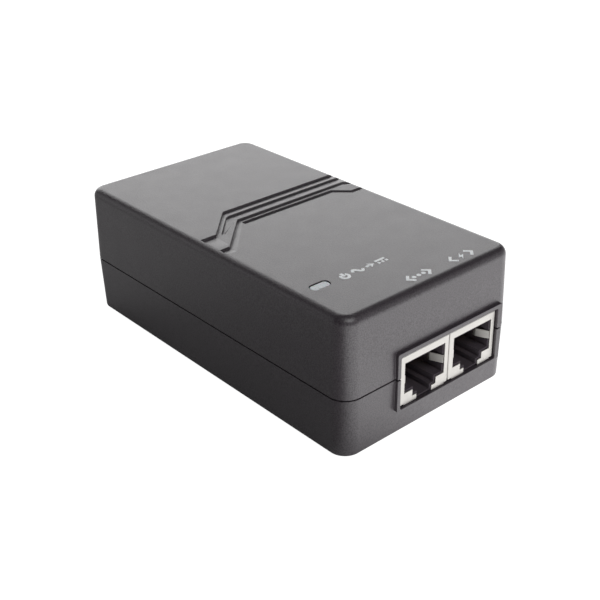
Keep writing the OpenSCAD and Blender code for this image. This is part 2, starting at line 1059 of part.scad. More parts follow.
module jack_housing() {
    half = insert_w / 2;
    pocket = 0.8;
    color([0.06, 0.06, 0.065])
        difference() {
            union() {
                span([-half, sheet_t + 0.05, insert_low_z], [half, insert_end, insert_top_z]);
                for (x = [-half, half - 2])
                    for (y = [5, 14])
                        span([x, y, board_z], [x + 2, y + 3, insert_low_z + eps]);
            }
            upright(-1, socket_depth)
                port_shape(skin, jack_low_z + skin);
            span(
                [-port_w / 2 - pocket, 0, finger_low_z - 0.2],
                [port_w / 2 + pocket, finger_len + finger_tip + 0.8, finger_low_z + finger_w + 0.2]
            );
            for (i = [0:wire_count - 1])
                wire_slots(wire_x(i));
        }
}

// Fixed part of the contact wires: from the front bend over the socket and down to the board.
module contact_leads() {
    color([0.83, 0.7, 0.38])
        for (i = [0:wire_count - 1]) {
            tail_y = insert_end - (i % 2 == 0 ? 2.4 : 0.9);
            lo = wire_x(i) - wire_w / 2;
            hi = wire_x(i) + wire_w / 2;
            translate([lo, wire_bend_y, lead_z])
                rotate([0, 90, 0])
                    cylinder(r = wire_t / 2, h = wire_w);
            span([lo, wire_bend_y, lead_z - wire_t / 2], [hi, tail_y, lead_z + wire_t / 2]);
            span([lo, tail_y - wire_t, board_z], [hi, tail_y, lead_z + wire_t / 2]);
        }
}

// Springy part of the contact wires: slopes back and down from the bend into the socket.
module contact_springs() {
    color([0.85, 0.72, 0.38])
        translate([0, wire_bend_y, spring_z])
            rotate([-spring_slope, 0, 0])
                for (i = [0:wire_count - 1]) {
                    translate([wire_x(i) - wire_w / 2, 0, 0])
                        rotate([0, 90, 0])
                            cylinder(r = wire_t / 2, h = wire_w);
                    span(
                        [wire_x(i) - wire_w / 2, 0, -wire_t / 2],
                        [wire_x(i) + wire_w / 2, spring_len, wire_t / 2]
                    );
                }
}

// Grounding finger on the right of the port, folded back into it, with its tip turned out again.
module shield_finger() {
    color([0.8, 0.79, 0.76])
        translate([finger_x, finger_y, finger_low_z]) {
            cylinder(r = sheet_t / 2, h = finger_w);
            rotate(finger_slope) {
                span([-sheet_t / 2, 0, 0], [sheet_t / 2, finger_len, finger_w]);
                translate([0, finger_len, 0]) {
                    cylinder(r = sheet_t / 2, h = finger_w);
                    rotate(-finger_slope * 2)
                        span([-sheet_t / 2, 0, 0], [sheet_t / 2, finger_tip, finger_w]);
                }
            }
        }
}

module place_lan() {
    translate([lan_x, jack_y, 0])
        children();
}

module place_poe() {
    translate([poe_x, jack_y, 0])
        children();
}

module lan_jack_housing() {
    place_lan()
        jack_housing();
}

module lan_jack_shield() {
    place_lan()
        jack_shield();
}

module lan_contact_leads() {
    place_lan()
        contact_leads();
}

module lan_contact_springs() {
    place_lan()
        contact_springs();
}

module lan_finger_left() {
    place_lan()
        mirror([1, 0, 0])
            shield_finger();
}

module lan_finger_right() {
    place_lan()
        shield_finger();
}

module poe_jack_housing() {
    place_poe()
        jack_housing();
}

module poe_jack_shield() {
    place_poe()
        jack_shield();
}

module poe_contact_leads() {
    place_poe()
        contact_leads();
}

module poe_contact_springs() {
    place_poe()
        contact_springs();
}

module poe_finger_left() {
    place_poe()
        mirror([1, 0, 0])
            shield_finger();
}

module poe_finger_right() {
    place_poe()
        shield_finger();
}

// ---------- what is drawn ----------

top_cover();
bottom_case();
light_pipe();
rating_label();
case_screws();
main_board();
insulation_sheet();
inlet_housing();
line_pin();
neutral_pin();
earth_pin();
fuse();
inrush_thermistor();
x_capacitor();
choke_base();
choke_core();
choke_windings();
bridge_rectifier();
bulk_capacitor();
transformer_core();
transformer_bobbin();
transformer_winding();
switching_transistor();
primary_heatsink();
heatsink_screws();
controller_chip();
optocoupler();
y_capacitor();
output_diode();
secondary_heatsink();
output_capacitors();
inductor_core();
inductor_winding();
data_transformer();
power_led();
led_spacer();
lan_jack_housing();
lan_jack_shield();
lan_contact_leads();
lan_contact_springs();
lan_finger_left();
lan_finger_right();
poe_jack_housing();
poe_jack_shield();
poe_contact_leads();
poe_contact_springs();
poe_finger_left();
poe_finger_right();
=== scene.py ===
"""Looks of a Power-over-Ethernet injector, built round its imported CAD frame.

Lengths are in millimetres and angles in degrees. Pieces are modelled in millimetres, where
booleans and bevels are exact, and seat() turns a finished mesh into metres.
"""

import math

import bmesh
import bpy
from mathutils import Matrix, Vector


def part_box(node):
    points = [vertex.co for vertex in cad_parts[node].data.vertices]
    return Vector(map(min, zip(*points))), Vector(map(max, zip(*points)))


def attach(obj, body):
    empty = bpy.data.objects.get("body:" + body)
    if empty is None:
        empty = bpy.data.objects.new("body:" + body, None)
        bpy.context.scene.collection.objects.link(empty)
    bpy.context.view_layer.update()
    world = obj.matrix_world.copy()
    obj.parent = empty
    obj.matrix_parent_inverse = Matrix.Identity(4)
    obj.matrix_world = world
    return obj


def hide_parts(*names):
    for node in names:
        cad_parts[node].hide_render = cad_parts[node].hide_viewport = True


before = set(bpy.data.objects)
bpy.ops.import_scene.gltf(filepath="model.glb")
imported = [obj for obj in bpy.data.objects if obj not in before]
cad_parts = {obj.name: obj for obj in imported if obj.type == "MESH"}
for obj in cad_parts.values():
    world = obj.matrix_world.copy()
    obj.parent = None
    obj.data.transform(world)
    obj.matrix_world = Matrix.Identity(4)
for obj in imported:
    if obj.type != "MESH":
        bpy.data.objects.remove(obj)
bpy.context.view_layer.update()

MM = 0.001
EPS = 0.01


def box(node):
    """Lowest and highest corners of a CAD node, in millimetres."""
    low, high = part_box(node)
    return low / MM, high / MM


# ---------- sizes, taken from the frame where it holds them ----------

cover_low, cover_high = box("top_cover")
board_low, board_high = box("main_board")

DRAFT = math.tan(math.radians(1.4))
CORNER_R = 4.6
EDGE_R = 2.2
WALL = 2.2
PART_GAP = 0.3
RIM_PROUD = 0.8
PART_Z = 14.8
GAP_LOW = PART_Z - PART_GAP / 2
GAP_HIGH = PART_Z + PART_GAP / 2
TONGUE_Z = PART_Z + 2
TONGUE_T = 1.1
TONGUE_PLAY = 0.1
FOOT_CHAMFER = 0.2
INK_T = 0.03
CAN_PITCH = 11

HALF_W = 27.5
HALF_L = cover_high.y - RIM_PROUD
TOP_Z = cover_high.z - INK_T
ROOF_Z = cover_high.z - WALL
CORNER_X = HALF_W - CORNER_R
CORNER_Y = HALF_L - CORNER_R
RIM_Y = cover_low.y

CORNER_STEPS = 20
CREASE_DEG = 4.8
BEVEL_DEG = 28
FLAT_DEG = 0.4
WELD = 0.001


# ---------- mesh tools ----------

def new_object(name, data):
    """An object in the scene that shows this data."""
    obj = bpy.data.objects.new(name, data)
    bpy.context.scene.collection.objects.link(obj)
    return obj


def to_object(bm, name):
    """Turns a bmesh into an object in the scene, its faces turned outwards."""
    bmesh.ops.recalc_face_normals(bm, faces=bm.faces)
    mesh = bpy.data.meshes.new(name)
    bm.to_mesh(mesh)
    bm.free()
    return new_object(name, mesh)


def edit_mesh(obj, change):
    """Runs a change on an object's mesh."""
    bm = bmesh.new()
    bm.from_mesh(obj.data)
    change(bm)
    bm.to_mesh(obj.data)
    bm.free()


def bridge(bm, low, high):
    """Faces all the way round between two rings of vertices."""
    count = len(low)
    for i in range(count):
        j = (i + 1) % count
        bm.faces.new((low[i], low[j], high[j], high[i]))


def loft(rings, name="tool"):
    """A closed solid through rings that have the same number of points."""
    bm = bmesh.new()
    loops = [[bm.verts.new(point) for point in ring] for ring in rings]
    for low, high in zip(loops, loops[1:]):
        bridge(bm, low, high)
    bm.faces.new(loops[0][::-1])
    bm.faces.new(loops[-1])
    return to_object(bm, name)


def along(axis, u, v, w):
    """The point at (u, v) in an outline's plane and at w along the axis the outline is swept on."""
    if axis == "X":
        return (w, u, v)
    if axis == "Y":
        return (u, w, v)
    return (u, v, w)


def prism(outline, start, end, axis="Z", name="tool"):
    """A closed solid with this outline from start to end along an axis."""
    return loft([[along(axis, u, v, w) for u, v in outline] for w in (start, end)], name)


def block(low, high, name="tool"):
    """A box from its low corner to its high corner."""
    return prism(round_rect(low[:2], high[:2], 0), low[2], high[2], "Z", name)


def circle(centre, radius, steps=32):
    """Outline of a circle."""
    angles = [2 * math.pi * i / steps for i in range(steps)]
    return [(centre[0] + radius * math.cos(a), centre[1] + radius * math.sin(a)) for a in angles]


def arc(centre, radius, start, end, steps):
    """Points along an arc, angles in degrees."""
    angles = [math.radians(start + (end - start) * i / steps) for i in range(steps + 1)]
    return [(centre[0] + radius * math.cos(a), centre[1] + radius * math.sin(a)) for a in angles]


def round_rect(low, high, radius, steps=6):
    """Outline of a rectangle. radius is one number, or four from the high right corner anticlockwise."""
    radii = radius if isinstance(radius, tuple) else (radius,) * 4
    points = []
    for quarter, (side, r) in enumerate(zip(((1, 1), (-1, 1), (-1, -1), (1, -1)), radii)):
        x = high[0] - r if side[0] > 0 else low[0] + r
        y = high[1] - r if side[1] > 0 else low[1] + r
        points += arc((x, y), r, 90 * quarter, 90 * quarter + 90, steps) if r else [(x, y)]
    return points


def lathe(profile, steps=48, name="tool"):
    """A closed solid turned about Z from (radius, height) points that start and end on the axis."""
    bm = bmesh.new()
    ends = [bm.verts.new((0, 0, profile[0][1])), bm.verts.new((0, 0, profile[-1][1]))]
    rings = [
        [bm.verts.new((x, y, z)) for x, y in circle((0, 0), r, steps)]
        for r, z in profile[1:-1]
    ]
    for low, high in zip(rings, rings[1:]):
        bridge(bm, low, high)
    for tip, ring in zip(ends, (rings[0], rings[-1])):
        for i in range(steps):
            bm.faces.new((tip, ring[i], ring[(i + 1) % steps]))
    return to_object(bm, name)


def move(obj, offset):
    """Shifts an object's mesh."""
    obj.data.transform(Matrix.Translation(Vector(offset)))
    return obj


def turn(obj, degrees, axis, about=(0, 0, 0)):
    """Turns an object's mesh about an axis through a point."""
    centre = Matrix.Translation(Vector(about))
    obj.data.transform(centre @ Matrix.Rotation(math.radians(degrees), 4, axis) @ centre.inverted())
    return obj


def apply_modifiers(obj):
    """Makes what an object's modifiers show its own mesh."""
    graph = bpy.context.evaluated_depsgraph_get()
    shown = bpy.data.meshes.new_from_object(obj.evaluated_get(graph))
    obj.modifiers.clear()
    obj.data = shown


def carve(target, operation, tools):
    """Joins tools to the target, or cuts them out of it, one after another."""
    for tool in tools:
        step = target.modifiers.new(operation, "BOOLEAN")
        step.operation = operation
        step.solver = "EXACT"
        step.object = tool
        apply_modifiers(target)
        bpy.data.objects.remove(tool)
    return target


def add(target, *tools):
    """Joins tools to the target."""
    return carve(target, "UNION", tools)


def cut(target, *tools):
    """Cuts tools out of the target."""
    return carve(target, "DIFFERENCE", tools)


def merge(name, objects):
    """One object that holds the separate solids of several."""
    bm = bmesh.new()
    for obj in objects:
        bm.from_mesh(obj.data)
        bpy.data.objects.remove(obj)
    return to_object(bm, name)


def dissolve_flats(bm):
    """Takes out the edges that booleans leave inside flat faces."""
    bmesh.ops.remove_doubles(bm, verts=bm.verts, dist=WELD)
    bmesh.ops.dissolve_limit(
        bm, angle_limit=math.radians(FLAT_DEG), verts=bm.verts, edges=bm.edges,
        use_dissolve_boundaries=False
    )


def round_edges(obj, width, segments, degrees):
    """Modifier that rounds the edges sharper than an angle."""
    bevel = obj.modifiers.new("edges", "BEVEL")
    bevel.limit_method = "ANGLE"
    bevel.angle_limit = math.radians(degrees)
    bevel.width = width
    bevel.segments = segments
    return bevel


def even_shading(obj):
    """Modifier that keeps flat faces looking flat beside small rounds."""
    normals = obj.modifiers.new("normals", "WEIGHTED_NORMAL")
    normals.keep_sharp = True


def soften(obj, width, segments=2, crease=CREASE_DEG):
    """Rounds the sharp edges, keeps the shallow creases and shades the rest smooth."""
    def shade_faces(bm):
        for face in bm.faces:
            face.smooth = True
        for edge in bm.edges:
            fold = math.degrees(edge.calc_face_angle(0))
            edge.smooth = not crease < fold < BEVEL_DEG

    edit_mesh(obj, dissolve_flats)
    edit_mesh(obj, shade_faces)
    if width:
        bevel = round_edges(obj, width, segments, BEVEL_DEG)
        bevel.use_clamp_overlap = False
        bevel.miter_outer = "MITER_ARC"
    even_shading(obj)
    apply_modifiers(obj)
    return obj


def seat(obj, body, material, replaces=()):
    """Turns a finished piece into metres, gives it its body and finish, and hides the CAD nodes that it
    replaces.
    """
    obj.data.transform(Matrix.Scale(MM, 4))
    obj.data.materials.clear()
    obj.data.materials.append(material)
    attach(obj, body)
    if replaces:
        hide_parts(*replaces)
    return obj


# ---------- material tools ----------

class Nodes:
    """A material being wired up: add nodes, then link them."""

    def __init__(self, name):
        """A new material with its surface and the object's own coordinates at hand."""
        self.material = bpy.data.materials.new(name)
        self.material.use_nodes = True
        self.tree = self.material.node_tree
        self.surface = self.tree.nodes["Principled BSDF"]
        self.place = self.add("ShaderNodeTexCoord").outputs["Object"]

    def add(self, kind, **values):
        """A new node with these properties."""
        node = self.tree.nodes.new(kind)
        for name, value in values.items():
            setattr(node, name, value)
        return node

    def link(self, output, target):
        """Joins an output to an input."""
        self.tree.links.new(output, target)

    def set(self, **values):
        """Sets inputs of the surface; an underscore in a name stands for a space."""
        for name, value in values.items():
            self.surface.inputs[name.replace("_", " ")].default_value = value

    def noise(self, size, detail=2.0, roughness=0.5, stretch=None):
        """Noise whose features are about size millimetres across."""
        node = self.add("ShaderNodeTexNoise")
        node.inputs["Scale"].default_value = 1 / (size * MM)
        node.inputs["Detail"].default_value = detail
        node.inputs["Roughness"].default_value = roughness
        source = self.place
        if stretch:
            mapping = self.add("ShaderNodeMapping")
            mapping.inputs["Scale"].default_value = stretch
            self.link(self.place, mapping.inputs["Vector"])
            source = mapping.outputs["Vector"]
        self.link(source, node.inputs["Vector"])
        return node.outputs["Fac"]

    def cells(self, size):
        """Distance to the middles of cells about size millimetres across."""
        node = self.add("ShaderNodeTexVoronoi")
        node.inputs["Scale"].default_value = 1 / (size * MM)
        self.link(self.place, node.inputs["Vector"])
        return node.outputs["Distance"]

    def between(self, amount, low, high, from_low=0.3, from_high=0.7):
        """Carries amount from its usual spread to the range low to high."""
        node = self.add("ShaderNodeMapRange")
        node.inputs["From Min"].default_value = from_low
        node.inputs["From Max"].default_value = from_high
        node.inputs["To Min"].default_value = low
        node.inputs["To Max"].default_value = high
        self.link(amount, node.inputs["Value"])
        return node.outputs["Result"]

    def mix(self, amount, first, second):
        """A colour between two, each a colour or an output."""
        node = self.add("ShaderNodeMix", data_type="RGBA")
        self.link(amount, node.inputs["Factor"])
        for socket, value in ((node.inputs[6], first), (node.inputs[7], second)):
            if isinstance(value, tuple):
                socket.default_value = (*value, 1)
            else:
                self.link(value, socket)
        return node.outputs[2]

    def maths(self, operation, first, second):
        """Two values put together by a Math node."""
        node = self.add("ShaderNodeMath", operation=operation)
        for socket, value in zip(node.inputs, (first, second)):
            if isinstance(value, (int, float)):
                socket.default_value = value
            else:
                self.link(value, socket)
        return node.outputs[0]

    def bump(self, height, depth, strength=1.0, under=None):
        """Relief depth millimetres deep; under is an earlier relief that it lies on."""
        node = self.add("ShaderNodeBump")
        node.inputs["Strength"].default_value = strength
        node.inputs["Distance"].default_value = depth * MM
        self.link(height, node.inputs["Height"])
        if under is not None:
            self.link(under, node.inputs["Normal"])
        return node.outputs["Normal"]

    def edges(self, radius):
        """1 on edges within radius millimetres and 0 on open faces."""
        rounded = self.add("ShaderNodeBevel", samples=4)
        rounded.inputs["Radius"].default_value = radius * MM
        plain = self.add("ShaderNodeNewGeometry")
        dot = self.add("ShaderNodeVectorMath", operation="DOT_PRODUCT")
        self.link(rounded.outputs["Normal"], dot.inputs[0])
        self.link(plain.outputs["Normal"], dot.inputs[1])
        return self.between(dot.outputs["Value"], 1, 0, 0.86, 0.99)

    def wire(self, **outputs):
        """Feeds outputs into the surface; an underscore in a name stands for a space."""
        for name, output in outputs.items():
            self.link(output, self.surface.inputs[name.replace("_", " ")])
        return self.material


def shade(tone, share):
    """A colour made darker or lighter."""
    return tuple(c * share for c in tone)


CLOUD_SPREAD = 0.06


def moulded(
    name, tone, roughness, grain=0.3, depth=0.03, wear=0.0, shine=0.5, fleck=1.6, sparkle=0.0
):
    """Moulded plastic: spark-eroded grain, faint cloudiness and, with wear, rubbed edges. sparkle is how
    far the gloss varies from grain to grain."""
    n = Nodes(name)
    clouds = n.between(n.noise(9, 3), 0, 1)
    colour = n.mix(clouds, shade(tone, 1 - CLOUD_SPREAD), shade(tone, 1 + CLOUD_SPREAD))
    fine = n.noise(grain, 2, 0.65)
    colour = n.mix(n.between(fine, 0, 0.5), colour, shade(tone, fleck))
    rough = n.maths(
        "ADD", n.between(n.noise(5, 3), roughness - 0.015, roughness + 0.015),
        n.between(fine, -0.06, 0.06)
    )
    if wear:
        edge = n.maths("MULTIPLY", n.edges(0.25), n.between(n.noise(2.5, 3), 0.2, wear))
        colour = n.mix(edge, colour, shade(tone, 2.2))
    pits = n.bump(n.cells(grain * 1.5), depth * 0.6, 0.5)
    gloss = n.between(n.noise(grain, 1), shine * (1 - sparkle), shine * (1 + sparkle))
    return n.wire(
        Base_Color=colour, Roughness=rough, Specular_IOR_Level=gloss,
        Normal=n.bump(fine, depth, 1.0, pits)
    )


# ---------- the case ----------

def wall_radius(z):
    """Corner radius of the outer wall at height z: the walls lean in from the parting line."""
    return CORNER_R - abs(z - PART_Z) * DRAFT


def case_ring(z, radius):
    """Outline of the case at height z. Its corner centres stay put as the radius changes."""
    outline = round_rect(
        (-CORNER_X - radius, -CORNER_Y - radius), (CORNER_X + radius, CORNER_Y + radius),
        radius, CORNER_STEPS
    )
    return [(x, y, z) for x, y in outline]


def inset_solid(inset, z0, z1):
    """A solid that keeps the same distance from the outer wall all the way up."""
    return loft([case_ring(z, wall_radius(z) - inset) for z in (z0, z1)])


# The mouths that the jacks and the inlet stand in, and the rims round them.
lan_low, lan_high = box("lan_jack_shield")
poe_low, poe_high = box("poe_jack_shield")
inlet_low, inlet_high = box("inlet_housing")
LAN_X = (lan_low.x + lan_high.x) / 2
POE_X = (poe_low.x + poe_high.x) / 2
JACK_Y = lan_low.y

RIM_BESIDE = (9.4, 9.6)
RIM_SIDES = (1.05, 1.45)
RIM_X = (LAN_X - RIM_BESIDE[0], POE_X + RIM_BESIDE[1])
RIM_Z = (6.25, 21.4)
RIM_R = 0.5
MOUTH_X = (RIM_X[0] + RIM_SIDES[0], RIM_X[1] - RIM_SIDES[1])
MOUTH_Z = (6.7, 20.3)
MOUTH_R = 0.4
INLET_PLAY = 0.3
INLET_RIM = 1.4
INLET_RIM_BELOW = 0.75
INLET_X = inlet_high.x + INLET_PLAY
INLET_Z = (6.9, inlet_high.z)


def front_mouth():
    """Cutter for the opening that both jacks stand in."""
    outline = round_rect((MOUTH_X[0], MOUTH_Z[0]), (MOUTH_X[1], MOUTH_Z[1]), MOUTH_R)
    return prism(outline, RIM_Y - 1, WALL + 1 - HALF_L, "Y")


def rear_mouth():
    """Cutter for the inlet's opening."""
    outline = round_rect(
        (-INLET_X, INLET_Z[0] - INLET_PLAY), (INLET_X, INLET_Z[1] + INLET_PLAY), MOUTH_R
    )
    return prism(outline, HALF_L - WALL - 1, 1 - RIM_Y, "Y")


def rims(z0, z1):
    """The raised rims round both mouths, between two heights."""
    front = ((RIM_X[0], RIM_Z[0]), (RIM_X[1], RIM_Z[1]))
    side = INLET_X + INLET_RIM
    rear = ((-side, INLET_Z[0] - INLET_RIM_BELOW), (side, INLET_Z[1] + INLET_PLAY + INLET_RIM))
    solids = []
    for (low, high), y0, y1 in ((front, RIM_Y, 1 - HALF_L), (rear, HALF_L - 1, -RIM_Y)):
        low_z = max(low[1], z0)
        high_z = min(high[1], z1)
        top_r = RIM_R if high_z == high[1] else 0
        low_r = RIM_R if low_z == low[1] else 0
        outline = round_rect((low[0], low_z), (high[0], high_z), (top_r, top_r, low_r, low_r))
        solids.append(prism(outline, y0, y1, "Y"))
    return solids


# Screw bosses in the cover, posts under them, board supports and the label's recess.
SCREW_X = 20.5
SCREW_SPOTS = (
    (-SCREW_X, 7.7 - HALF_L), (SCREW_X, 25.7 - HALF_L),
    (-SCREW_X, HALF_L - 6.7), (SCREW_X, HALF_L - 6.7)
)
SUPPORT_SPOTS = (
    (-17, 44 - HALF_L), (17, 40 - HALF_L), (0, 8 - HALF_L),
    (-17, HALF_L - 20), (17, HALF_L - 20), (0, HALF_L - 8)
)
BOSS_Z = 11
LEDGE_Z = 9
BOSS_R = 3.2
POST_R = 4.2
SUPPORT_R = 2.2
RECESS_R = 3.1
CLEAR_R = 1.7
PILOT_R = 1.4
PILOT_DEPTH = 13
SINK = 0.5
CASE_ROUND = 0.12
LABEL_PLAY = 0.4
LABEL_SINK = 0.3

pipe_low, pipe_high = box("light_pipe")
PIPE_X = (pipe_low.x + pipe_high.x) / 2
PIPE_Y = (pipe_low.y + pipe_high.y) / 2
PIPE_HALF = (2.55, 1.2)
PIPE_R = 1.0
PIPE_PLAY = 0.1
FLANGE_HALF = (3.4, 2)
ROD_R = 1.6

# The grooves across the top: the line where each steep wall starts, where its ramp ends, and
# the share of the full depth at each point.
GROOVE_DEPTH = 0.6
GROOVE_LEAN = 0.35
START = EDGE_R + 0.5 - HALF_W
SIDE = HALF_W + 1
GROOVES = (
    (((START, 2.3), (-20.3, 2.3), (-10.9, 11.9), (SIDE, 11.9)),
     ((START, -4.1), (-21.4, -4.1), (-11.1, 9.2), (SIDE, 9.2)),
     (1, 1, 1, 1)),
    (((-18.9, 2.2), (-12.2, 8.9), (SIDE, 8.9)),
     ((-18, 1.2), (-11.2, 6.1), (SIDE, 6.1)),
     (1.5, 0.9, 0.8)),
    (((START, -5.2), (-22, -5.2), (-11.1, 5.7), (24.3, 5.7), (SIDE, 2)),
     ((START, -8.3), (-22.2, -8.3), (-10.8, 3.9), (23.5, 3.9), (SIDE, 0.4)),
     (1, 1, 1, 0.8, 0.35)),
    (((-11.3, 3.65), (18.4, 3.65), (22.2, -0.1), (SIDE, -0.1)),
     ((-11.3, 2.1), (17.8, 2.1), (21.5, -1.7), (SIDE, -1.7)),
     (1, 1, 0.8, 0.8)),
)


def groove(line, ramps, shares):
    """Cutter for one stepped groove: steep below the line, then a ramp back up to the top face."""
    above = TOP_Z + 1
    rings = []
    for start, end, share in zip(line, ramps, shares):
        depth = GROOVE_DEPTH * share
        across = (Vector(end) - Vector(start)).normalized() * depth * GROOVE_LEAN
        foot = Vector(start) + across
        rings.append([
            (*start, above), (*start, TOP_Z), (*foot, TOP_Z - depth), (*end, TOP_Z), (*end, above)
        ])
    tool = loft(rings)
    edit_mesh(tool, lambda bm: bmesh.ops.triangulate(bm, faces=bm.faces))
    return tool


def pipe_outline(grow=0):
    """The light pipe's pill shape, grown all round."""
    x, y = PIPE_HALF[0] + grow, PIPE_HALF[1] + grow
    return round_rect((PIPE_X - x, PIPE_Y - y), (PIPE_X + x, PIPE_Y + y), PIPE_R + grow, 8)


def make_cover(plastic):
    """Top cover: rounded shell with half of each rim, grooves, lamp hole and screw bosses."""
    shoulder = TOP_Z - EDGE_R
    radius = wall_radius(shoulder)
    rings = [case_ring(GAP_HIGH, wall_radius(GAP_HIGH)), case_ring(shoulder, radius)]
    for x, z in arc((radius - EDGE_R, shoulder), EDGE_R, 0, 90, CORNER_STEPS)[1:]:
        rings.append(case_ring(z, x))
    cover = loft(rings, "cover_shell")
    add(cover, *rims(GAP_HIGH, TOP_Z))
    cut(cover, inset_solid(WALL, GAP_HIGH - 1, ROOF_Z))
    cut(cover, inset_solid(WALL - TONGUE_T - TONGUE_PLAY, GAP_HIGH - 1, TONGUE_Z))
    cut(cover, front_mouth(), rear_mouth())
    cut(cover, prism(pipe_outline(PIPE_PLAY), ROOF_Z - 1, TOP_Z + 1))
    cut(cover, *(groove(*shape) for shape in GROOVES))
    for spot in SCREW_SPOTS:
        add(cover, prism(circle(spot, BOSS_R), BOSS_Z, ROOF_Z + SINK))
        cut(cover, prism(circle(spot, PILOT_R), BOSS_Z - 1, BOSS_Z + PILOT_DEPTH))
    soften(cover, CASE_ROUND)
    return seat(cover, "case", plastic, ["top_cover"])


def make_bottom(plastic):
    """Bottom case: shell with the other half of each rim, tongue, screw posts and board supports."""
    rings = [
        case_ring(0, wall_radius(0) - FOOT_CHAMFER),
        case_ring(FOOT_CHAMFER, wall_radius(FOOT_CHAMFER)),
        case_ring(GAP_LOW, wall_radius(GAP_LOW))
    ]
    case = loft(rings, "bottom_shell")
    add(case, inset_solid(WALL - TONGUE_T, GAP_LOW - 1, TONGUE_Z), *rims(0, GAP_LOW))
    cut(case, inset_solid(WALL, WALL, TONGUE_Z + 1))
    for spot in SCREW_SPOTS:
        add(case, prism(circle(spot, POST_R), WALL - SINK, BOSS_Z))
    for spot in SUPPORT_SPOTS:
        add(case, prism(circle(spot, SUPPORT_R), WALL - SINK, board_low.z))
    cut(case, front_mouth(), rear_mouth())
    for spot in SCREW_SPOTS:
        cut(case, prism(circle(spot, RECESS_R), -1, LEDGE_Z))
        cut(case, prism(circle(spot, CLEAR_R), LEDGE_Z - 1, BOSS_Z + 1))
    label_low, label_high = box("rating_label")
    cut(case, block(
        (label_low.x - LABEL_PLAY, label_low.y - LABEL_PLAY, -1),
        (label_high.x + LABEL_PLAY, label_high.y + LABEL_PLAY, LABEL_SINK)
    ))
    soften(case, CASE_ROUND)
    return seat(case, "case", plastic, ["bottom_case"])


def make_lamp(clear):
    """Light pipe: a pill in the top face with a flange and a rod under it."""
    lens = prism(pipe_outline(), ROOF_Z - SINK, pipe_high.z - INK_T, "Z", "lamp_lens")
    x, y = FLANGE_HALF
    add(lens, block((PIPE_X - x, PIPE_Y - y, ROOF_Z - 1), (PIPE_X + x, PIPE_Y + y, ROOF_Z)))
    add(lens, prism(circle((PIPE_X, PIPE_Y), ROD_R), pipe_low.z, ROOF_Z - SINK))
    soften(lens, 0.18, 3)
    return seat(lens, "case", clear, ["light_pipe"])


# ---------- printed signs ----------

def stroke(points, width):
    """Outline of an open line of this width, mitred at its bends."""
    half = width / 2
    left, right = [], []
    line = [Vector(p) for p in points]
    for i, point in enumerate(line):
        before = (point - line[i - 1]).normalized() if i else None
        after = (line[i + 1] - point).normalized() if i < len(line) - 1 else None
        way = ((before or after) + (after or before)).normalized()
        side = Vector((-way.y, way.x))
        reach = half / max(0.4, way.dot(before or after))
        left.append(tuple(point + side * reach))
        right.append(tuple(point - side * reach))
    return left + right[::-1]


def print_sign(name, outlines, ink):
    """Thin ink on the top face in these outlines."""
    sign = merge(name, [prism(o, TOP_Z - INK_T / 2, cover_high.z) for o in outlines])
    return seat(sign, "case", ink)


SIGN_H = 2.7
INK_W = 0.72
LAMP_SIGN_AT = (-14.0, -35.85)
PORT_SIGNS_Y = -46.6
DATA_SIGN_X = -0.35
POWER_SIGN_X = 13.65


def ring_part(centre, radius, start, end, steps=20):
    """Outline of an arc drawn INK_W wide."""
    outer = arc(centre, radius, start, end, steps)
    inner = arc(centre, radius - INK_W, end, start, steps)
    return outer + inner


def power_sign(left, low):
    """Mains to low voltage: power symbol, wave, arrow, and the direct current bars."""
    half = SIGN_H / 2
    middle = low + half
    outlines = [
        ring_part((left + half, middle - 0.15), half, 130, 410),
        stroke([(left + half, middle - 0.1), (left + half, middle + half + 0.1)], INK_W),
    ]
    wave_x = left + 3.9
    wave_w = 3.0
    wave_h = 0.8
    steps = 16
    wave = []
    for i in range(steps + 1):
        share = i / steps
        wave.append((wave_x + wave_w * share, middle + wave_h * math.sin(2 * math.pi * share)))
    outlines.append(stroke(wave, INK_W))
    arrow_x = wave_x + wave_w + 1.0
    head_x = arrow_x + 1.1
    head_w, head_h = 1.4, 1.05
    outlines.append(stroke([(arrow_x, middle), (head_x + 0.2, middle)], INK_W))
    outlines.append([(head_x, middle - head_h), (head_x + head_w, middle), (head_x, middle + head_h)])
    bars_x = arrow_x + 3.3
    bar = 3.0
    dash, dash_pitch = bar * 0.23, bar * 0.385
    apart = 0.55
    outlines.append(stroke([(bars_x, middle + apart), (bars_x + bar, middle + apart)], INK_W))
    for i in range(3):
        start = bars_x + i * dash_pitch
        outlines.append(stroke([(start, middle - apart), (start + dash, middle - apart)], INK_W))
    return outlines


def brackets(middle_x, low, reach):
    """A pair of angle brackets that open towards each other, their points this far from the middle."""
    half = SIGN_H / 2
    return [
        stroke([
            (middle_x + way * (half - reach), low + SIGN_H), (middle_x - way * reach, low + half),
            (middle_x + way * (half - reach), low)
        ], INK_W)
        for way in (1, -1)
    ]


def network_sign(middle_x, low):
    """Angle brackets with three dots between them: a data port."""
    dot_r, dot_pitch = 0.55, 1.5
    return brackets(middle_x, low, 3.5) + [
        circle((middle_x + i * dot_pitch, low + SIGN_H / 2), dot_r, 16) for i in (-1, 0, 1)
    ]


def power_data_sign(middle_x, low):
    """Angle brackets with a bolt between them: a data port that also carries power."""
    bolt = ((0.75, 1.0), (-1.05, 0.4), (-0.15, 0.4), (-0.75, 0.0), (1.05, 0.6), (0.15, 0.6))
    return brackets(middle_x, low, 3.6) + [[(middle_x + x, low + SIGN_H * y) for x, y in bolt]]


# ---------- the jacks ----------

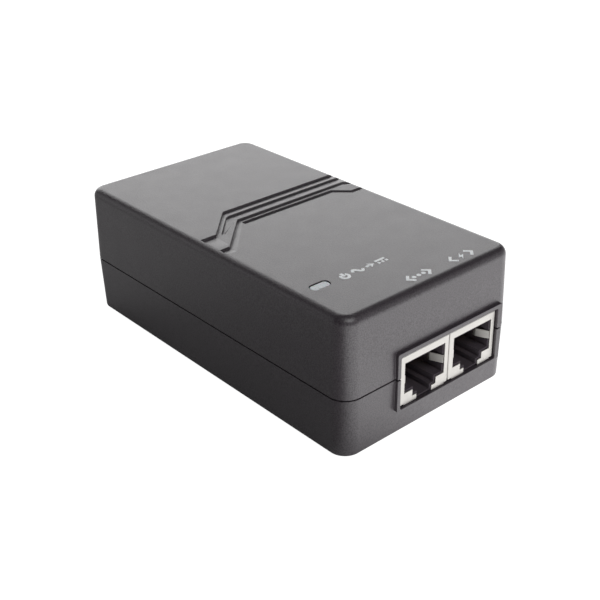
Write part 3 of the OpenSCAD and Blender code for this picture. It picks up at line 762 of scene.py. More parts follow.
# Distances across are from a jack's middle and heights from the ground. The names that end in _Y
# and the finger's root are measured from the jack's front.
SHEET = 0.3
SHIELD_STEP_Z = 7.15
SHIELD_FOOT = (6.7, 6.85)
SHIELD_R = 0.35
BACK_OPEN_Z = 8.2
TAIL_Y = (9, 10.5)
WINDOW_Y = (12.2, 14.6)
WINDOW_Z = (12, 13.6)
PORT_HALF = 6.55
PORT_Z = (9.9, 17.85)
LATCH_HALF = 3.85
LATCH_Z = 8.2
NOTCH_HALF = 2.5
SKIN = 0.45
SOCKET_DEPTH = 11.3
WIRE_PITCH = 1.02
WIRE_COUNT = 8
WIRE_W = 0.4
WIRE_T = 0.3
WIRE_BEND_Y = 2.6
LEAD_Z = 18.7
SPRING_Z = 18.3
SPRING_SLOPE = 26
TIP_LEN = 0.95
TAIL_STEP = 1.5
LEAD_BEND = 0.5
SLOT_HALF = 0.31
SLOT_PLAY = 0.4
FINGER_Z = (12.5, 14.6)
FINGER_LEN = 3.5
FINGER_TIP = 0.8
FINGER_SLOPE = 22.5
FINGER_ROOT = (PORT_HALF - 0.2, 0.18)
FINGER_T = 0.22


def port_outline(inset, low_z):
    """Stepped mouth of a jack at x = 0: plug, latch and latch tab, shrunk all round by inset."""
    port, latch, notch = (half - inset for half in (PORT_HALF, LATCH_HALF, NOTCH_HALF))
    port_z, latch_z = PORT_Z[0] + inset, LATCH_Z + inset
    right = [(notch, low_z), (notch, latch_z), (latch, latch_z), (latch, port_z), (port, port_z)]
    top = [(port, PORT_Z[1] - inset), (-port, PORT_Z[1] - inset)]
    return right + top + [(-x, z) for x, z in right[::-1]]


def rounded_block(low, high, radius, steps=4):
    """A box with its top and upright edges rounded."""
    def round_them(bm):
        edges = [e for e in bm.edges if all(v.co.z > low[2] + EPS for v in e.verts)]
        edges += [e for e in bm.edges if abs(e.verts[0].co.z - e.verts[1].co.z) > EPS]
        bmesh.ops.bevel(
            bm, geom=edges, offset=radius, segments=steps, profile=0.5, affect="EDGES",
            clamp_overlap=True
        )

    tool = block(low, high)
    edit_mesh(tool, round_them)
    return tool


def make_shield(port, x, steel):
    """Folded sheet round the insert, with the stepped mouth, solder tails and side windows."""
    low, high = box(port + "_jack_shield")
    foot_x, foot_z = SHIELD_FOOT
    shield = rounded_block((low.x, low.y, SHIELD_STEP_Z), (high.x, high.y, high.z), SHIELD_R)
    shield.name = port + "_shield"
    add(shield, block((x - foot_x, low.y, foot_z), (x + foot_x, low.y + SHEET, SHIELD_STEP_Z + SINK)))
    inner = rounded_block(
        (low.x + SHEET, low.y + SHEET, 0), (high.x - SHEET, high.y - SHEET, high.z - SHEET), 0.12, 2
    )
    cut(shield, inner)
    cut(shield, block((low.x - 1, high.y - 2, 0), (high.x + 1, high.y + 1, BACK_OPEN_Z)))
    cut(shield, move(prism(port_outline(0, 0), low.y - 1, low.y + 1, "Y"), (x, 0, 0)))
    for side in (low.x, high.x - SHEET):
        add(shield, block(
            (side, low.y + TAIL_Y[0], low.z), (side + SHEET, low.y + TAIL_Y[1], SHIELD_STEP_Z + SINK)
        ))
        cut(shield, block(
            (side - 1, low.y + WINDOW_Y[0], WINDOW_Z[0]), (side + 1, low.y + WINDOW_Y[1], WINDOW_Z[1])
        ))
    soften(shield, 0.035)
    return seat(shield, "case", steel, [port + "_jack_shield"])


def wire_x(x, i):
    """Middle of wire i of the jack whose middle is at x."""
    return x + (i - (WIRE_COUNT - 1) / 2) * WIRE_PITCH


def make_insert(port, x, plastic):
    """Moulded insert: stepped socket, finger pockets and a slot for each wire."""
    low, high = box(port + "_jack_housing")
    base_z = 6.9
    peg_w, peg_l = 2, 3
    insert = block((low.x, low.y, base_z), (high.x, high.y, high.z), port + "_insert")
    for side in (low.x, high.x - peg_w):
        for y in (JACK_Y + 5, JACK_Y + 14):
            add(insert, block((side, y, low.z), (side + peg_w, y + peg_l, base_z + SINK)))
    socket = prism(port_outline(SKIN, 7.3), JACK_Y - 1, JACK_Y + SOCKET_DEPTH, "Y")
    cut(insert, move(socket, (x, 0, 0)))
    pocket, play = 0.8, 0.2
    cut(insert, block(
        (x - PORT_HALF - pocket, JACK_Y, FINGER_Z[0] - play),
        (x + PORT_HALF + pocket, JACK_Y + FINGER_LEN + FINGER_TIP + pocket, FINGER_Z[1] + play)
    ))
    slot_top = LEAD_Z + SLOT_PLAY
    slots = (
        (JACK_Y + WIRE_BEND_Y - 0.7, JACK_Y + SOCKET_DEPTH, PORT_Z[1] - SKIN - 1),
        (JACK_Y + SOCKET_DEPTH - 1, high.y - 3, LEAD_Z - SLOT_PLAY),
        (high.y - 3.3, high.y + 1, 0)
    )
    for i in range(WIRE_COUNT):
        mid = wire_x(x, i)
        for y0, y1, z in slots:
            cut(insert, block((mid - SLOT_HALF, y0, z), (mid + SLOT_HALF, y1, slot_top)))
    soften(insert, 0.07)
    return seat(insert, "case", plastic, [port + "_jack_housing"])


def strip(path, thickness, low, high, axis, name="tool"):
    """A strip of sheet that follows a path in one plane, from low to high across it."""
    return prism(stroke(path, thickness), low, high, axis, name)


def make_fingers(port, x, steel):
    """Grounding fingers: from beside the mouth they slope in to a knee, and the tips turn out."""
    slope = math.radians(FINGER_SLOPE)
    away = (math.sin(slope), math.cos(slope))
    root = FINGER_ROOT
    elbow = (root[0] - FINGER_LEN * away[0], root[1] + FINGER_LEN * away[1])
    tip = (elbow[0] + FINGER_TIP * away[0], elbow[1] + FINGER_TIP * away[1])
    flat = 0.06
    knee = [(elbow[0] + away[0] * abs(t), elbow[1] + away[1] * t) for t in (-0.5, -0.3, 0.3, 0.5)]
    knee.insert(2, (elbow[0] + flat, elbow[1]))
    for word, side in (("left", -1), ("right", 1)):
        low, high = box(f"{port}_finger_{word}")
        line = [(x + side * u, JACK_Y + v) for u, v in [root] + knee + [tip]]
        finger = strip(line, FINGER_T, low.z, high.z, "Z", f"{port}_ground_finger_{word}")
        soften(finger, 0.03, crease=40)
        seat(finger, f"{port}_{word}_finger", steel, [f"{port}_finger_{word}"])


def make_wires(port, x, gold):
    """Contact wires: leads over the socket and down to the board, and springs that slope into it."""
    leads, springs = [], []
    slope = math.radians(SPRING_SLOPE)
    low, high = box(port + "_contact_leads")
    bend_y = JACK_Y + WIRE_BEND_Y
    reach = [(bend_y + t * math.cos(slope), SPRING_Z - t * math.sin(slope)) for t in (0, 5.6, 6.6)]
    end_y, end_z = reach[-1]
    tip_slope = slope * 0.6
    reach.append((end_y + TIP_LEN * math.cos(tip_slope), end_z - TIP_LEN * math.sin(tip_slope)))
    for i in range(WIRE_COUNT):
        x0, x1 = wire_x(x, i) - WIRE_W / 2, wire_x(x, i) + WIRE_W / 2
        tail_y = high.y - (TAIL_STEP if i % 2 == 0 else 0)
        corner = (tail_y - WIRE_T / 2 - LEAD_BEND, LEAD_Z - LEAD_BEND)
        path = [(bend_y, LEAD_Z)] + arc(corner, LEAD_BEND, 90, 0, 5) + [(corner[0] + LEAD_BEND, low.z)]
        leads.append(strip(path, WIRE_T, x0, x1, "X"))
        springs.append(strip(reach, WIRE_T, x0, x1, "X"))
    lead_set = soften(merge(port + "_leads", leads), 0.04, crease=40)
    spring_set = soften(merge(port + "_springs", springs), 0.04, crease=40)
    seat(lead_set, "case", gold, [port + "_contact_leads"])
    seat(spring_set, port + "_springs", gold, [port + "_contact_springs"])


# ---------- wires, threads and turned parts ----------

def tube(path, radius, flat, closed=False, sides=10, name="tool"):
    """A round wire along points in space. flat is a direction that the path never runs along."""
    points = [Vector(p) for p in path]
    count = len(points)
    bm = bmesh.new()
    rings = []
    for i, point in enumerate(points):
        before = points[i - 1] if closed or i else point
        after = points[(i + 1) % count] if closed or i < count - 1 else point
        way = (after - before).normalized()
        side = way.cross(Vector(flat)).normalized() * radius
        over = side.cross(way)
        rings.append([
            bm.verts.new(point + side * math.cos(a) + over * math.sin(a))
            for a in (2 * math.pi * k / sides for k in range(sides))
        ])
    pairs = list(zip(rings, rings[1:])) + ([(rings[-1], rings[0])] if closed else [])
    for low, high in pairs:
        bridge(bm, low, high)
    if not closed:
        bm.faces.new(rings[0][::-1])
        bm.faces.new(rings[-1])
    return to_object(bm, name)


def threaded_shank(length, crest_r, core_r, pitch, sides=24):
    """A thread-forming shank up the Z axis, with a plain neck and a tapered end."""
    rows_per_turn = 8
    neck = 0.6
    taper = 1.4
    point_share = 0.45
    rings = []
    for row in range(int(length / pitch * rows_per_turn) + 1):
        z = row * pitch / rows_per_turn
        ring = []
        for k in range(sides):
            phase = (z / pitch - k / sides) % 1
            ridge = max(0, 1 - abs(phase - 0.5) * 4) if z > neck else 0
            slim = min(1, point_share + (1 - point_share) * (length - z) / taper)
            radius = (core_r + (crest_r - core_r) * ridge) * slim
            angle = 2 * math.pi * k / sides
            ring.append((radius * math.cos(angle), radius * math.sin(angle), z))
        rings.append(ring)
    return loft(rings)


SHANK_R = 1.35
CORE_R = 1.0
THREAD_PITCH = 1.06


def make_case_screws(steel):
    """Four pan-head screws with cross recesses, driven up from below."""
    low, high = box("case_screws")
    head_r = (high.x - low.x) / 2 - SCREW_SPOTS[1][0]
    head_h = 2.0
    rim = 0.55
    rim_chamfer = 0.12
    cross_x, cross_y, cross_z = 1.6, 0.38, -0.95
    screws = []
    for spot in SCREW_SPOTS:
        profile = [(0, -head_h)] + arc((head_r - 1.4, rim - head_h + 0.65), 1.2, 270, 330, 5)
        profile += [(head_r, -rim), (head_r, -rim_chamfer), (head_r - rim_chamfer, 0), (0, 0)]
        head = lathe(profile, 40)
        for angle in (0, 90):
            slot = block((-cross_x, -cross_y, -head_h - 1), (cross_x, cross_y, cross_z))
            cut(head, turn(slot, angle, "Z"))
        soften(head, 0.06, crease=30)
        shank = threaded_shank(high.z - low.z - head_h, SHANK_R, CORE_R, THREAD_PITCH)
        soften(shank, 0, crease=50)
        screws += [move(o, (*spot, low.z + head_h)) for o in (head, shank)]
    return seat(merge("case_screw_set", screws), "case", steel, ["case_screws"])


def make_inlet(plastic):
    """Inlet housing: block with a bevelled lip, a keyed well and slots for the blades."""
    back_y = inlet_low.y
    housing = prism(
        round_rect((inlet_low.x, INLET_Z[0]), (inlet_high.x, INLET_Z[1]), 0.8),
        back_y, inlet_high.y, "Y", "inlet_shell"
    )
    foot_w, foot_y = 2, (2, 12)
    for x in (inlet_low.x + foot_w, inlet_high.x - 2 * foot_w):
        add(housing, block(
            (x, back_y + foot_y[0], inlet_low.z), (x + foot_w, back_y + foot_y[1], INLET_Z[0] + 1)
        ))
    half_x, half_z, chamfer, depth = 12.3, 8.45, 4.5, 17
    middle = (INLET_Z[0] + INLET_Z[1]) / 2
    for grow, reach in ((0, depth), (0.9, 0.35)):
        x, z = half_x + grow, half_z + grow
        slope = chamfer + grow * 0.41
        well = [
            (-x, middle - z), (x, middle - z), (x, middle + z - slope),
            (x - slope, middle + z), (slope - x, middle + z), (-x, middle + z - slope)
        ]
        cut(housing, prism(well, inlet_high.y - reach, inlet_high.y + 1, "Y"))
    play = 0.03
    blade_h = 4
    for pin in ("line_pin", "neutral_pin", "earth_pin"):
        low, high = box(pin)
        cut(housing, block(
            (low.x - play, back_y - 1, high.z - blade_h - play),
            (high.x + play, inlet_high.y - depth + 1, high.z + play)
        ))
    soften(housing, 0.18, 3)
    return seat(housing, "case", plastic, ["inlet_housing"])


def make_label(film, ink):
    """Blank label: a film with a ruled frame and empty rows."""
    low, high = box("rating_label")
    sheet = prism(round_rect(low[:2], high[:2], 1), low.z, high.z, "Z", "label_sheet")
    soften(sheet, 0.03)
    seat(sheet, "case", film, ["rating_label"])
    margin = 1.6
    rule = 0.22
    left, right = low.x + margin, high.x - margin
    bottom, top = low.y + margin, high.y - margin
    rows = [bottom + (top - bottom) * share for share in (0, 0.18, 0.36, 0.5, 0.64, 1)]
    lines = [stroke([(left, y), (right, y)], rule) for y in rows]
    lines += [stroke([(x, bottom - rule / 2), (x, top + rule / 2)], rule) for x in (left, right)]
    lines.append(stroke([(0, rows[1]), (0, rows[4])], rule))
    ruling = merge("label_ruling", [prism(o, low.z - INK_T, low.z + INK_T) for o in lines])
    return seat(ruling, "case", ink)


# ---------- wound parts ----------

def make_choke_windings(copper):
    """Two coils of thick wire, one on each side of the ring core."""
    low, high = box("choke_core")
    centre = (low + high) / 2
    outer = (high.x - low.x) / 2
    inner = 4.2
    half_t = (high.y - low.y) / 2
    wire_r = 0.52
    gap = wire_r + 0.05
    turns = 8
    spread = 122
    path = round_rect((inner - gap, -half_t - gap), (outer + gap, half_t + gap), 0.9, 4)
    loops = []
    for side in (0, 180):
        for i in range(turns):
            angle = math.radians(side - spread / 2 + spread * i / (turns - 1))
            out = Vector((math.cos(angle), 0, math.sin(angle)))
            across = Vector((-math.sin(angle), 0, math.cos(angle)))
            points = [centre + out * u + Vector((0, v, 0)) for u, v in path]
            loops.append(tube(points, wire_r, across, closed=True))
    coils = soften(merge("choke_coils", loops), 0, crease=60)
    return seat(coils, "case", copper, ["choke_windings"])


def make_inductor_winding(copper):
    """One close-wound layer of wire over the layers below it."""
    low, high = box("inductor_winding")
    centre = (low + high) / 2
    wire_r = 0.44
    bore_r = 2.05
    radius = (high.x - low.x) / 2 - wire_r
    turns = (high.z - low.z - 2 * wire_r) / (2 * wire_r + 0.02)
    steps = int(turns * 32)
    rise = high.z - low.z - 2 * wire_r
    points = []
    for i in range(steps + 1):
        angle = 2 * math.pi * turns * i / steps
        z = low.z + wire_r + rise * i / steps
        points.append((centre.x + radius * math.cos(angle), centre.y + radius * math.sin(angle), z))
    layer = tube(points, wire_r, (0, 0, 1))
    under = prism(circle(centre[:2], radius - 0.1, 40), low.z, high.z)
    cut(under, prism(circle(centre[:2], bore_r, 40), low.z - 1, high.z + 1))
    coil = soften(merge("inductor_coil", [layer, under]), 0, crease=60)
    return seat(coil, "case", copper, ["inductor_winding"])


def make_transformer_tape(tape):
    """Tape over the transformer's windings: a crowned wrap round the bobbin's tube."""
    low, high = box("transformer_winding")
    centre = (low + high) / 2
    half = (high - low) / 2
    rows = 10
    rings = []
    for i in range(rows + 1):
        share = 2 * i / rows - 1
        inset = 0.3 * share ** 4
        rings.append([
            (centre.x + x, centre.y + y, centre.z + share * half.z)
            for x, y in round_rect(
                (inset - half.x, inset - half.y), (half.x - inset, half.y - inset), 3 - inset
            )
        ])
    wrap = loft(rings, "transformer_tape")
    tube_x, tube_y = 4.2, 4.5
    cut(wrap, block(
        (centre.x - tube_x, centre.y - tube_y, low.z - 1),
        (centre.x + tube_x, centre.y + tube_y, high.z + 1)
    ))
    soften(wrap, 0.1)
    return seat(wrap, "case", tape, ["transformer_winding"])


# ---------- capacitors and other dipped or sleeved parts ----------

def can_sleeve(radius, height):
    """Sleeved can up the Z axis: rounded foot, crimp near the top, sleeve curled over the rim."""
    foot_r, curl_r = 0.5, 0.45
    crimp_z, crimp_depth, steps = height - 3, 0.5, 8
    profile = [(0, 0)] + arc((radius - foot_r, foot_r), foot_r, 270, 360, 4)
    for i in range(steps + 1):
        share = 2 * i / steps - 1
        dip = crimp_depth * (0.5 + 0.5 * math.cos(math.pi * share))
        profile.append((radius - dip, crimp_z + share))
    profile += arc((radius - curl_r, height - curl_r), curl_r, 0, 90, 4)
    profile += [(radius - 1, height - 0.05), (radius - 1, height - 0.5), (0, height - 0.5)]
    return lathe(profile, 56)


def can_top(radius, height):
    """Bare top of a can inside the curled sleeve, scored with a cross so that it can vent."""
    rim_r = radius - 1.02
    profile = [(0, height - 0.8), (rim_r, height - 0.8), (rim_r, height - 0.3), (0, height - 0.3)]
    top = lathe(profile, 56)
    reach, half_w, low_z = radius * 0.55, 0.13, height - 0.42
    for angle in (0, 90):
        cut(top, turn(block((-reach, -half_w, low_z), (reach, half_w, height)), angle, "Z"))
    return top


def can_stripe(radius, height):
    """Printed stripe down the side of the negative lead."""
    half_angle = 22
    outer = arc((0, 0), radius + 0.02, -half_angle, half_angle, 12)
    inner = arc((0, 0), radius - 0.05, half_angle, -half_angle, 12)
    return prism(outer + inner, 1.0, height - 4.3)


def make_cans(name, node, spots, radius, height, sleeve, metal, ink):
    """Sleeves, tops and stripes of the cans that stand at these spots."""
    base = box(node)[0].z
    kinds = (
        ("sleeve", can_sleeve, sleeve, "can_sleeve", [node]),
        ("top", can_top, metal, "heatsink_aluminium", ()),
        ("stripe", can_stripe, ink, "can_sleeve", ())
    )
    for word, shape, material, slot, nodes in kinds:
        copies = [move(shape(radius, height), (*spot, base)) for spot in spots]
        piece = soften(merge(f"{name}_{word}", copies), 0.03, crease=30)
        seat(piece, "case", material, nodes)


LEAD_R = 0.35


def lead_wires(name, spots, low_z, high_z, metal):
    """Straight round leads from one height to another."""
    wires = [tube([(x, y, low_z), (x, y, high_z)], LEAD_R, (1, 0, 0), sides=16) for x, y in spots]
    return seat(soften(merge(name, wires), 0.05, crease=50), "case", metal)


def make_disc(name, node, thickness, gap, material, metal):
    """Dipped disc standing on two leads, with the coating drawn down over them."""
    low, high = box(node)
    centre = (low + high) / 2
    radius = (high.x - low.x) / 2
    disc_z = high.z - radius
    half = thickness / 2
    profile = [(0, -half)] + arc((radius - half, 0), half, 270, 450, 12) + [(0, half)]
    disc = move(turn(lathe(profile, 56), 90, "X"), (centre.x, centre.y, disc_z))
    drip, sunk = 1.2, 1.5
    collar_z = disc_z - math.sqrt(radius ** 2 - gap ** 2 / 4)
    for x in (-gap / 2, gap / 2):
        collar = lathe([(0, -drip), (0.45, -drip), (0.95, sunk), (0, sunk)], 24)
        add(disc, move(collar, (centre.x + x, centre.y, collar_z)))
    disc.name = name
    soften(disc, 0.12, crease=30)
    seat(disc, "case", material, [node])
    spots = [(centre.x + x, centre.y) for x in (-gap / 2, gap / 2)]
    lead_wires(name + "_leads", spots, low.z, disc_z - radius * 0.6, metal)


def make_fuse(shell, metal):
    """Round radial fuse: a cap with a rounded top over a base disc."""
    low, high = box("fuse")
    centre = (low + high) / 2
    radius = (high.x - low.x) / 2
    foot = low.z + 0.8
    profile = [(0, foot), (radius - 0.1, foot), (radius, foot + 0.1), (radius, foot + 1.4)]
    profile += [(radius - 0.25, foot + 1.5), (radius - 0.25, high.z - 0.8)]
    profile += arc((radius - 1.05, high.z - 0.8), 0.8, 0, 90, 5) + [(0, high.z)]
    body = move(lathe(profile, 56), (centre.x, centre.y, 0))
    body.name = "fuse_cap"
    soften(body, 0.06, crease=30)
    seat(body, "case", shell, ["fuse"])
    lead_wires("fuse_leads", [(centre.x + x, centre.y) for x in (-2.5, 2.5)], low.z, foot + 0.5, metal)


# ---------- CAD nodes whose shape is right ----------

DRESS_FLAT_DEG = 0.5
DRESS_BEVEL_DEG = 35


def dress(nodes, material, width=0.12, segments=2):
    """Gives CAD nodes a finish and, with modifiers alone, small rounds on their edges."""
    for name in nodes:
        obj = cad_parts[name]
        obj.data.materials.clear()
        obj.data.materials.append(material)
        weld = obj.modifiers.new("weld", "WELD")
        weld.merge_threshold = WELD * MM
        flats = obj.modifiers.new("flats", "DECIMATE")
        flats.decimate_type = "DISSOLVE"
        flats.angle_limit = math.radians(DRESS_FLAT_DEG)
        round_edges(obj, width * MM, segments, DRESS_BEVEL_DEG)
        even_shading(obj)


# ---------- materials ----------

def sheet_metal(name, tone, roughness):
    """Plated sheet: rolling marks, small stains and blurred reflections."""
    n = Nodes(name)
    marks = n.noise(0.5, 3, 0.6, (1.0, 1.0, 14.0))
    clouds = n.noise(2.2, 3)
    colour = n.mix(n.between(clouds, 0, 1), shade(tone, 0.93), tone)
    rough = n.maths(
        "ADD", n.between(marks, roughness - 0.05, roughness + 0.08), n.between(clouds, -0.04, 0.06)
    )
    n.set(Metallic=1.0)
    return n.wire(Base_Color=colour, Roughness=rough, Normal=n.bump(marks, 0.004, 0.5))


def speckled(name, tone, marks, dark, rough, relief, usual=(0.3, 0.7), **settings):
    """An even surface with marks, given as arguments for noise(), that darken, roughen and raise it."""
    n = Nodes(name)
    flecks = n.noise(*marks)
    colour = n.mix(n.between(flecks, 0, 1, *usual), shade(tone, dark), tone)
    n.set(**settings)
    return n.wire(
        Base_Color=colour, Roughness=n.between(flecks, *rough), Normal=n.bump(flecks, *relief)
    )


def clear_plastic(name, tone):
    """Frosted clear moulding."""
    return speckled(
        name, tone, (0.6, 3), 0.92, (0.25, 0.4), (0.004, 0.4), Transmission_Weight=0.15, IOR=1.49,
        Specular_IOR_Level=0.8, Subsurface_Weight=0.3, Subsurface_Scale=2 * MM
    )


def printing_ink(name, tone):
    """Pad-printed ink: nearly even, with fine specks where the grain shows through."""
    return speckled(
        name, tone, (0.18, 3, 0.6), 0.9, (0.4, 0.5), (0.006, 0.5), (0.35, 0.6), Specular_IOR_Level=1.0
    )


def cured_film(name, tone, roughness):
    """Smooth coating or film with slow waves and a few specks."""
    n = Nodes(name)
    waves = n.noise(4, 2)
    specks = n.noise(0.25, 3, 0.7)
    colour = n.mix(n.between(waves, 0, 1), shade(tone, 0.9), tone)
    colour = n.mix(n.between(specks, 0, 0.25, 0.55, 0.8), colour, shade(tone, 0.5))
    rough = n.between(waves, roughness, roughness + 0.08)
    return n.wire(Base_Color=colour, Roughness=rough, Normal=n.bump(waves, 0.03, 0.6))


def ferrite_stone(name, tone):
    """Sintered ferrite: dull, with fine pores and pale chips on the edges."""
    n = Nodes(name)
    pores = n.noise(0.12, 3, 0.7)
    colour = n.mix(n.between(pores, 0, 1), shade(tone, 0.6), shade(tone, 1.3))
    edge = n.maths("MULTIPLY", n.edges(0.2), n.between(n.noise(1.2, 3), 0, 0.7))
    colour = n.mix(edge, colour, shade(tone, 3))
    return n.wire(Base_Color=colour, Roughness=n.between(pores, 0.55, 0.8), Normal=n.bump(pores, 0.02))


def enamelled_wire(name, tone):
    """Copper under clear enamel: glossy, with drawing marks."""
    return speckled(
        name, tone, (0.3, 2), 0.8, (0.25, 0.4), (0.005, 0.5), Metallic=0.9, Coat_Weight=0.6,
        Coat_Roughness=0.1
    )


def circuit_laminate(name, mask, trace):
    """Green solder mask over copper: wide lighter tracks, glass weave and a soft gloss."""
    n = Nodes(name)
    islands = n.between(n.noise(6, 1), 0, 1, 0.49, 0.51)
    weave = n.noise(0.35, 2, 0.5, (1, 1, 1))
    colour = n.mix(islands, mask, trace)
    colour = n.mix(n.between(weave, 0, 0.2), colour, shade(mask, 1.8))
    n.set(Coat_Weight=0.3)
    relief = n.bump(islands, 0.03, 0.6)
    return n.wire(
        Base_Color=colour, Roughness=n.between(weave, 0.3, 0.42),
        Normal=n.bump(weave, 0.006, 0.6, relief)
    )


def fibre_card(name, tone):
    """Pressed insulating card with short fibres."""
    return speckled(name, tone, (0.4, 4, 0.7, (1.0, 5.0, 1.0)), 0.8, (0.7, 0.9), (0.02, 0.7))


def tinned_package(name, body, tests):
    """Moulded epoxy whose legs and tab are tinned metal. Each test is an axis, a place in millimetres
    and the side, 1 or -1, on which the metal lies."""
    n = Nodes(name)
    split = n.add("ShaderNodeSeparateXYZ")
    n.link(n.place, split.inputs[0])
    metal = 0
    for axis, place, side in tests:
        beyond = n.maths("GREATER_THAN" if side > 0 else "LESS_THAN", split.outputs[axis], place * MM)
        metal = n.maths("MAXIMUM", beyond, metal)
    fine = n.noise(0.15, 3, 0.65)
    epoxy = n.mix(n.between(fine, 0, 1), shade(body, 0.8), shade(body, 1.25))
    tin = n.mix(n.between(n.noise(0.6, 3), 0, 1), (0.55, 0.54, 0.52), (0.72, 0.71, 0.68))
    rough = n.maths("SUBTRACT", n.between(fine, 0.5, 0.65), n.maths("MULTIPLY", metal, 0.2))
    return n.wire(
        Base_Color=n.mix(metal, epoxy, tin), Metallic=metal, Roughness=rough,
        Normal=n.bump(fine, 0.01, 0.7)
    )


# ---------- finishes ----------

case_plastic = moulded(
    "case_plastic", (0.034, 0.026, 0.033), 0.42, wear=0.5, shine=1.0, sparkle=0.28
)
jack_plastic = moulded("jack_plastic", (0.06, 0.051, 0.06), 0.85, grain=0.15, depth=0.01, shine=0.1)
inlet_plastic = moulded("inlet_plastic", (0.022, 0.022, 0.023), 0.42, grain=0.2, depth=0.02, wear=0.3)
shield_steel = sheet_metal("shield_steel", (0.60, 0.585, 0.56), 0.5)
contact_gold = sheet_metal("contact_gold", (0.86, 0.62, 0.26), 0.25)
tinned_brass = sheet_metal("tinned_brass", (0.72, 0.70, 0.64), 0.28)
screw_steel = sheet_metal("screw_steel", (0.50, 0.50, 0.52), 0.35)
aluminium = sheet_metal("aluminium", (0.70, 0.70, 0.72), 0.4)
lens_plastic = clear_plastic("lens_plastic", (0.62, 0.66, 0.70))
led_epoxy = clear_plastic("led_epoxy", (0.42, 0.75, 0.42))
pale_ink = printing_ink("pale_ink", (0.95, 0.98, 1.0))
grey_ink = printing_ink("grey_ink", (0.12, 0.12, 0.125))
stripe_ink = printing_ink("stripe_ink", (0.62, 0.64, 0.66))
label_film = cured_film("label_film", (0.62, 0.63, 0.65), 0.35)
laminate = circuit_laminate("circuit_laminate", (0.012, 0.11, 0.05), (0.03, 0.19, 0.08))
card = fibre_card("insulating_card", (0.72, 0.69, 0.58))
ferrite = ferrite_stone("ferrite", (0.045, 0.046, 0.048))
copper = enamelled_wire("enamelled_copper", (0.72, 0.26, 0.10))
tape = cured_film("winding_tape", (0.75, 0.55, 0.06), 0.25)
can_vinyl = cured_film("can_vinyl", (0.012, 0.02, 0.06), 0.3)
green_dip = cured_film("green_ceramic", (0.03, 0.13, 0.06), 0.35)
blue_dip = cured_film("blue_ceramic", (0.02, 0.13, 0.42), 0.3)
black_plastic = moulded("black_plastic", (0.02, 0.02, 0.021), 0.45, grain=0.2, depth=0.02)
white_plastic = moulded("white_plastic", (0.72, 0.72, 0.68), 0.45, grain=0.2, depth=0.02, fleck=1.1)
fuse_plastic = moulded("fuse_plastic", (0.05, 0.02, 0.012), 0.35, grain=0.2, depth=0.01)
film_box = moulded("film_capacitor_box", (0.52, 0.36, 0.02), 0.35, grain=0.2, depth=0.01, fleck=1.2)

# ---------- pieces ----------

make_cover(case_plastic)
make_bottom(case_plastic)
make_lamp(lens_plastic)
print_sign("power_sign", power_sign(*LAMP_SIGN_AT), pale_ink)
print_sign("data_port_sign", network_sign(DATA_SIGN_X, PORT_SIGNS_Y), pale_ink)
print_sign("power_port_sign", power_data_sign(POWER_SIGN_X, PORT_SIGNS_Y), pale_ink)
for port, middle in (("lan", LAN_X), ("poe", POE_X)):
    make_shield(port, middle, shield_steel)
    make_insert(port, middle, jack_plastic)
    make_fingers(port, middle, shield_steel)
    make_wires(port, middle, contact_gold)

make_inlet(inlet_plastic)
make_label(label_film, grey_ink)
make_case_screws(screw_steel)
make_choke_windings(copper)
make_inductor_winding(copper)
make_transformer_tape(tape)
make_fuse(fuse_plastic, tinned_brass)
make_disc("thermistor_disc", "inrush_thermistor", 4, 5, green_dip, tinned_brass)
make_disc("safety_capacitor", "y_capacitor", 3.6, 6, blue_dip, tinned_brass)
for name, node, radius, height in (
    ("bulk", "bulk_capacitor", 9, 25),
    ("output", "output_capacitors", 5, 20)
):
    low, high = box(node)
    x = (low.x + high.x) / 2
    count = round((high.y - low.y) / (2 * radius))
    spots = [(x, low.y + radius + i * CAN_PITCH) for i in range(count)]
    make_cans(name, node, spots, radius, height, can_vinyl, aluminium, stripe_ink)

dress(["line_pin", "neutral_pin", "earth_pin"], tinned_brass, 0.15, 3)
dress(["main_board"], laminate, 0.05, 1)
dress(["insulation_sheet"], card, 0.03, 1)
dress(["choke_base", "transformer_bobbin"], black_plastic, 0.1)
dress(["choke_core", "transformer_core", "inductor_core"], ferrite, 0.3, 3)
dress(["primary_heatsink", "secondary_heatsink"], aluminium, 0.15)
dress(["heatsink_screws"], screw_steel, 0.12)
dress(["led_spacer"], white_plastic, 0.2)
dress(["power_led"], led_epoxy, 0.05)
dress(["x_capacitor"], film_box, 0.2, 3)
EPOXY = (0.018, 0.018, 0.02)


def package_material(node, tests):
    """Epoxy with metal legs for one node. tests measure from its middle, but for Z from the board."""
    low, high = box(node)
    middle = {"X": (low.x + high.x) / 2, "Y": (low.y + high.y) / 2, "Z": board_high.z}
    tone = (0.62, 0.62, 0.58) if node == "optocoupler" else EPOXY
    placed = [(axis, middle[axis] + place, side) for axis, place, side in tests]
    return tinned_package(node + "_package", tone, placed)


LEGS_BY_X = [("X", 3.25, 1), ("X", -3.25, -1)]
for node, tests in (
    ("controller_chip", LEGS_BY_X),
    ("optocoupler", LEGS_BY_X),
    ("data_transformer", [("Y", 3.95, 1), ("Y", -3.95, -1)]),
    ("bridge_rectifier", [("Z", 2.9, -1)]),
    ("switching_transistor", [("Z", 5.4, -1), ("X", 0.97, 1)]),
    ("output_diode", [("Z", 5.4, -1), ("X", -0.97, -1)]),
):
    dress([node], package_material(node, tests), 0.15)


# ---------- studio ----------

FLOOR_REACH = 3000
FLOOR_DROP = 0.1
FLOOR_WAY = (0.65, -0.76)
FLOOR_START = 15
FLOOR_END = 42
FLOOR_DIM = 0.08
FLOOR_BRIGHT = 1.5
FLOOR_BEHIND = 0.2
REAR_START = 45
REAR_END = 90
FLOOR_SHOWN = 0.97
WORLD_GLOW = 0.02
CAMERA_DROP = 17.2


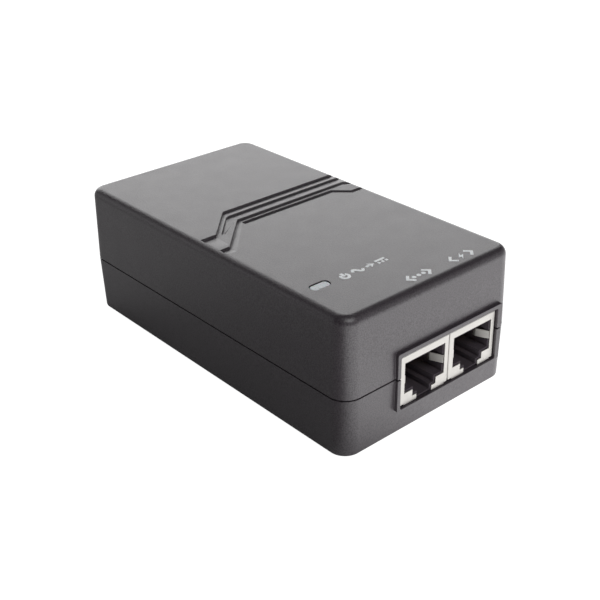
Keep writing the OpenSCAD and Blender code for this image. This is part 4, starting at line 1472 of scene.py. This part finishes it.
def make_floor():
    """Pale floor. It glows like a light table, brighter towards the front right than behind."""
    bm = bmesh.new()
    bmesh.ops.create_grid(bm, x_segments=4, y_segments=4, size=FLOOR_REACH * MM)
    floor = to_object(bm, "floor")
    floor.location.z = -FLOOR_DROP * MM
    n = Nodes("pale_floor")
    n.set(Roughness=0.9, Base_Color=(0.35, 0.35, 0.35, 1), Emission_Color=(1, 1, 1, 1))
    split = n.add("ShaderNodeSeparateXYZ")
    n.link(n.place, split.inputs[0])
    forward = n.maths(
        "ADD", n.maths("MULTIPLY", split.outputs["X"], FLOOR_WAY[0]),
        n.maths("MULTIPLY", split.outputs["Y"], FLOOR_WAY[1])
    )
    glow = n.between(forward, FLOOR_DIM, FLOOR_BRIGHT, FLOOR_START * MM, FLOOR_END * MM)
    behind = n.between(forward, FLOOR_BEHIND, 0, -REAR_END * MM, -REAR_START * MM)
    glow = n.maths("ADD", glow, behind)
    seen = n.add("ShaderNodeLightPath").outputs["Is Camera Ray"]
    shown = n.add("ShaderNodeMix")
    n.link(seen, shown.inputs["Factor"])
    n.link(glow, shown.inputs[2])
    shown.inputs[3].default_value = FLOOR_SHOWN
    floor.data.materials.append(n.wire(Emission_Strength=shown.outputs[0]))


def lamp(name, direction, distance, size, power):
    """Square soft light that faces the object from a direction."""
    light = bpy.data.lights.new(name, "AREA")
    light.shape = "RECTANGLE"
    light.size, light.size_y = (side * MM for side in size)
    light.energy = power
    obj = new_object(name, light)
    way = Vector(direction).normalized()
    obj.location = way * (distance * MM)
    obj.rotation_mode = "QUATERNION"
    obj.rotation_quaternion = way.to_track_quat("Z", "Y")


def make_camera():
    """Camera that looks down on the front left corner, slightly rolled, aimed just beside the middle."""
    azimuth, elevation, roll = (math.radians(a) for a in (-40.696, 28.555, -1.061))
    distance = 269.011
    aside, upward = 3.1, -6.39
    back = Vector((
        math.sin(azimuth) * math.cos(elevation), -math.cos(azimuth) * math.cos(elevation),
        math.sin(elevation)
    ))
    level = Vector((math.cos(azimuth), math.sin(azimuth), 0))
    rise = back.cross(level)
    right = math.cos(roll) * level + math.sin(roll) * rise
    up = -math.sin(roll) * level + math.cos(roll) * rise
    middle = Vector((0, 0, cover_high.z - CAMERA_DROP))
    place = middle + right * aside + up * upward + back * distance
    camera = bpy.data.cameras.new("camera")
    camera.sensor_width = 36
    camera.lens = 62.76228
    camera.clip_start = 10 * MM
    obj = new_object("camera", camera)
    obj.matrix_world = Matrix((
        (right.x, up.x, back.x, place.x * MM),
        (right.y, up.y, back.y, place.y * MM),
        (right.z, up.z, back.z, place.z * MM),
        (0, 0, 0, 1)
    ))
    bpy.context.scene.camera = obj


def make_world():
    """Dim room whose far wall looks as pale as the floor to the camera."""
    world = bpy.data.worlds.new("studio")
    world.use_nodes = True
    tree = world.node_tree
    background = tree.nodes["Background"]
    background.inputs["Color"].default_value = (1, 1, 1, 1)
    seen = tree.nodes.new("ShaderNodeLightPath").outputs["Is Camera Ray"]
    shown = tree.nodes.new("ShaderNodeMix")
    tree.links.new(seen, shown.inputs["Factor"])
    shown.inputs[2].default_value = WORLD_GLOW
    shown.inputs[3].default_value = FLOOR_SHOWN
    tree.links.new(shown.outputs[0], background.inputs["Strength"])
    bpy.context.scene.world = world


make_floor()
make_world()
make_camera()
lamp("backdrop", (0.52, 0.715, 0.31), 900, (1050, 700), 6.0)
lamp("left_rear", (-0.47, 0.67, 0.28), 900, (500, 500), 0.6)
lamp("front_right", (0.75, -0.6, 0.3), 800, (500, 400), 0.35)
lamp("fill", (-0.1, -0.6, 0.79), 900, (500, 500), 2.7)
bpy.context.scene.view_settings.view_transform = "Standard"
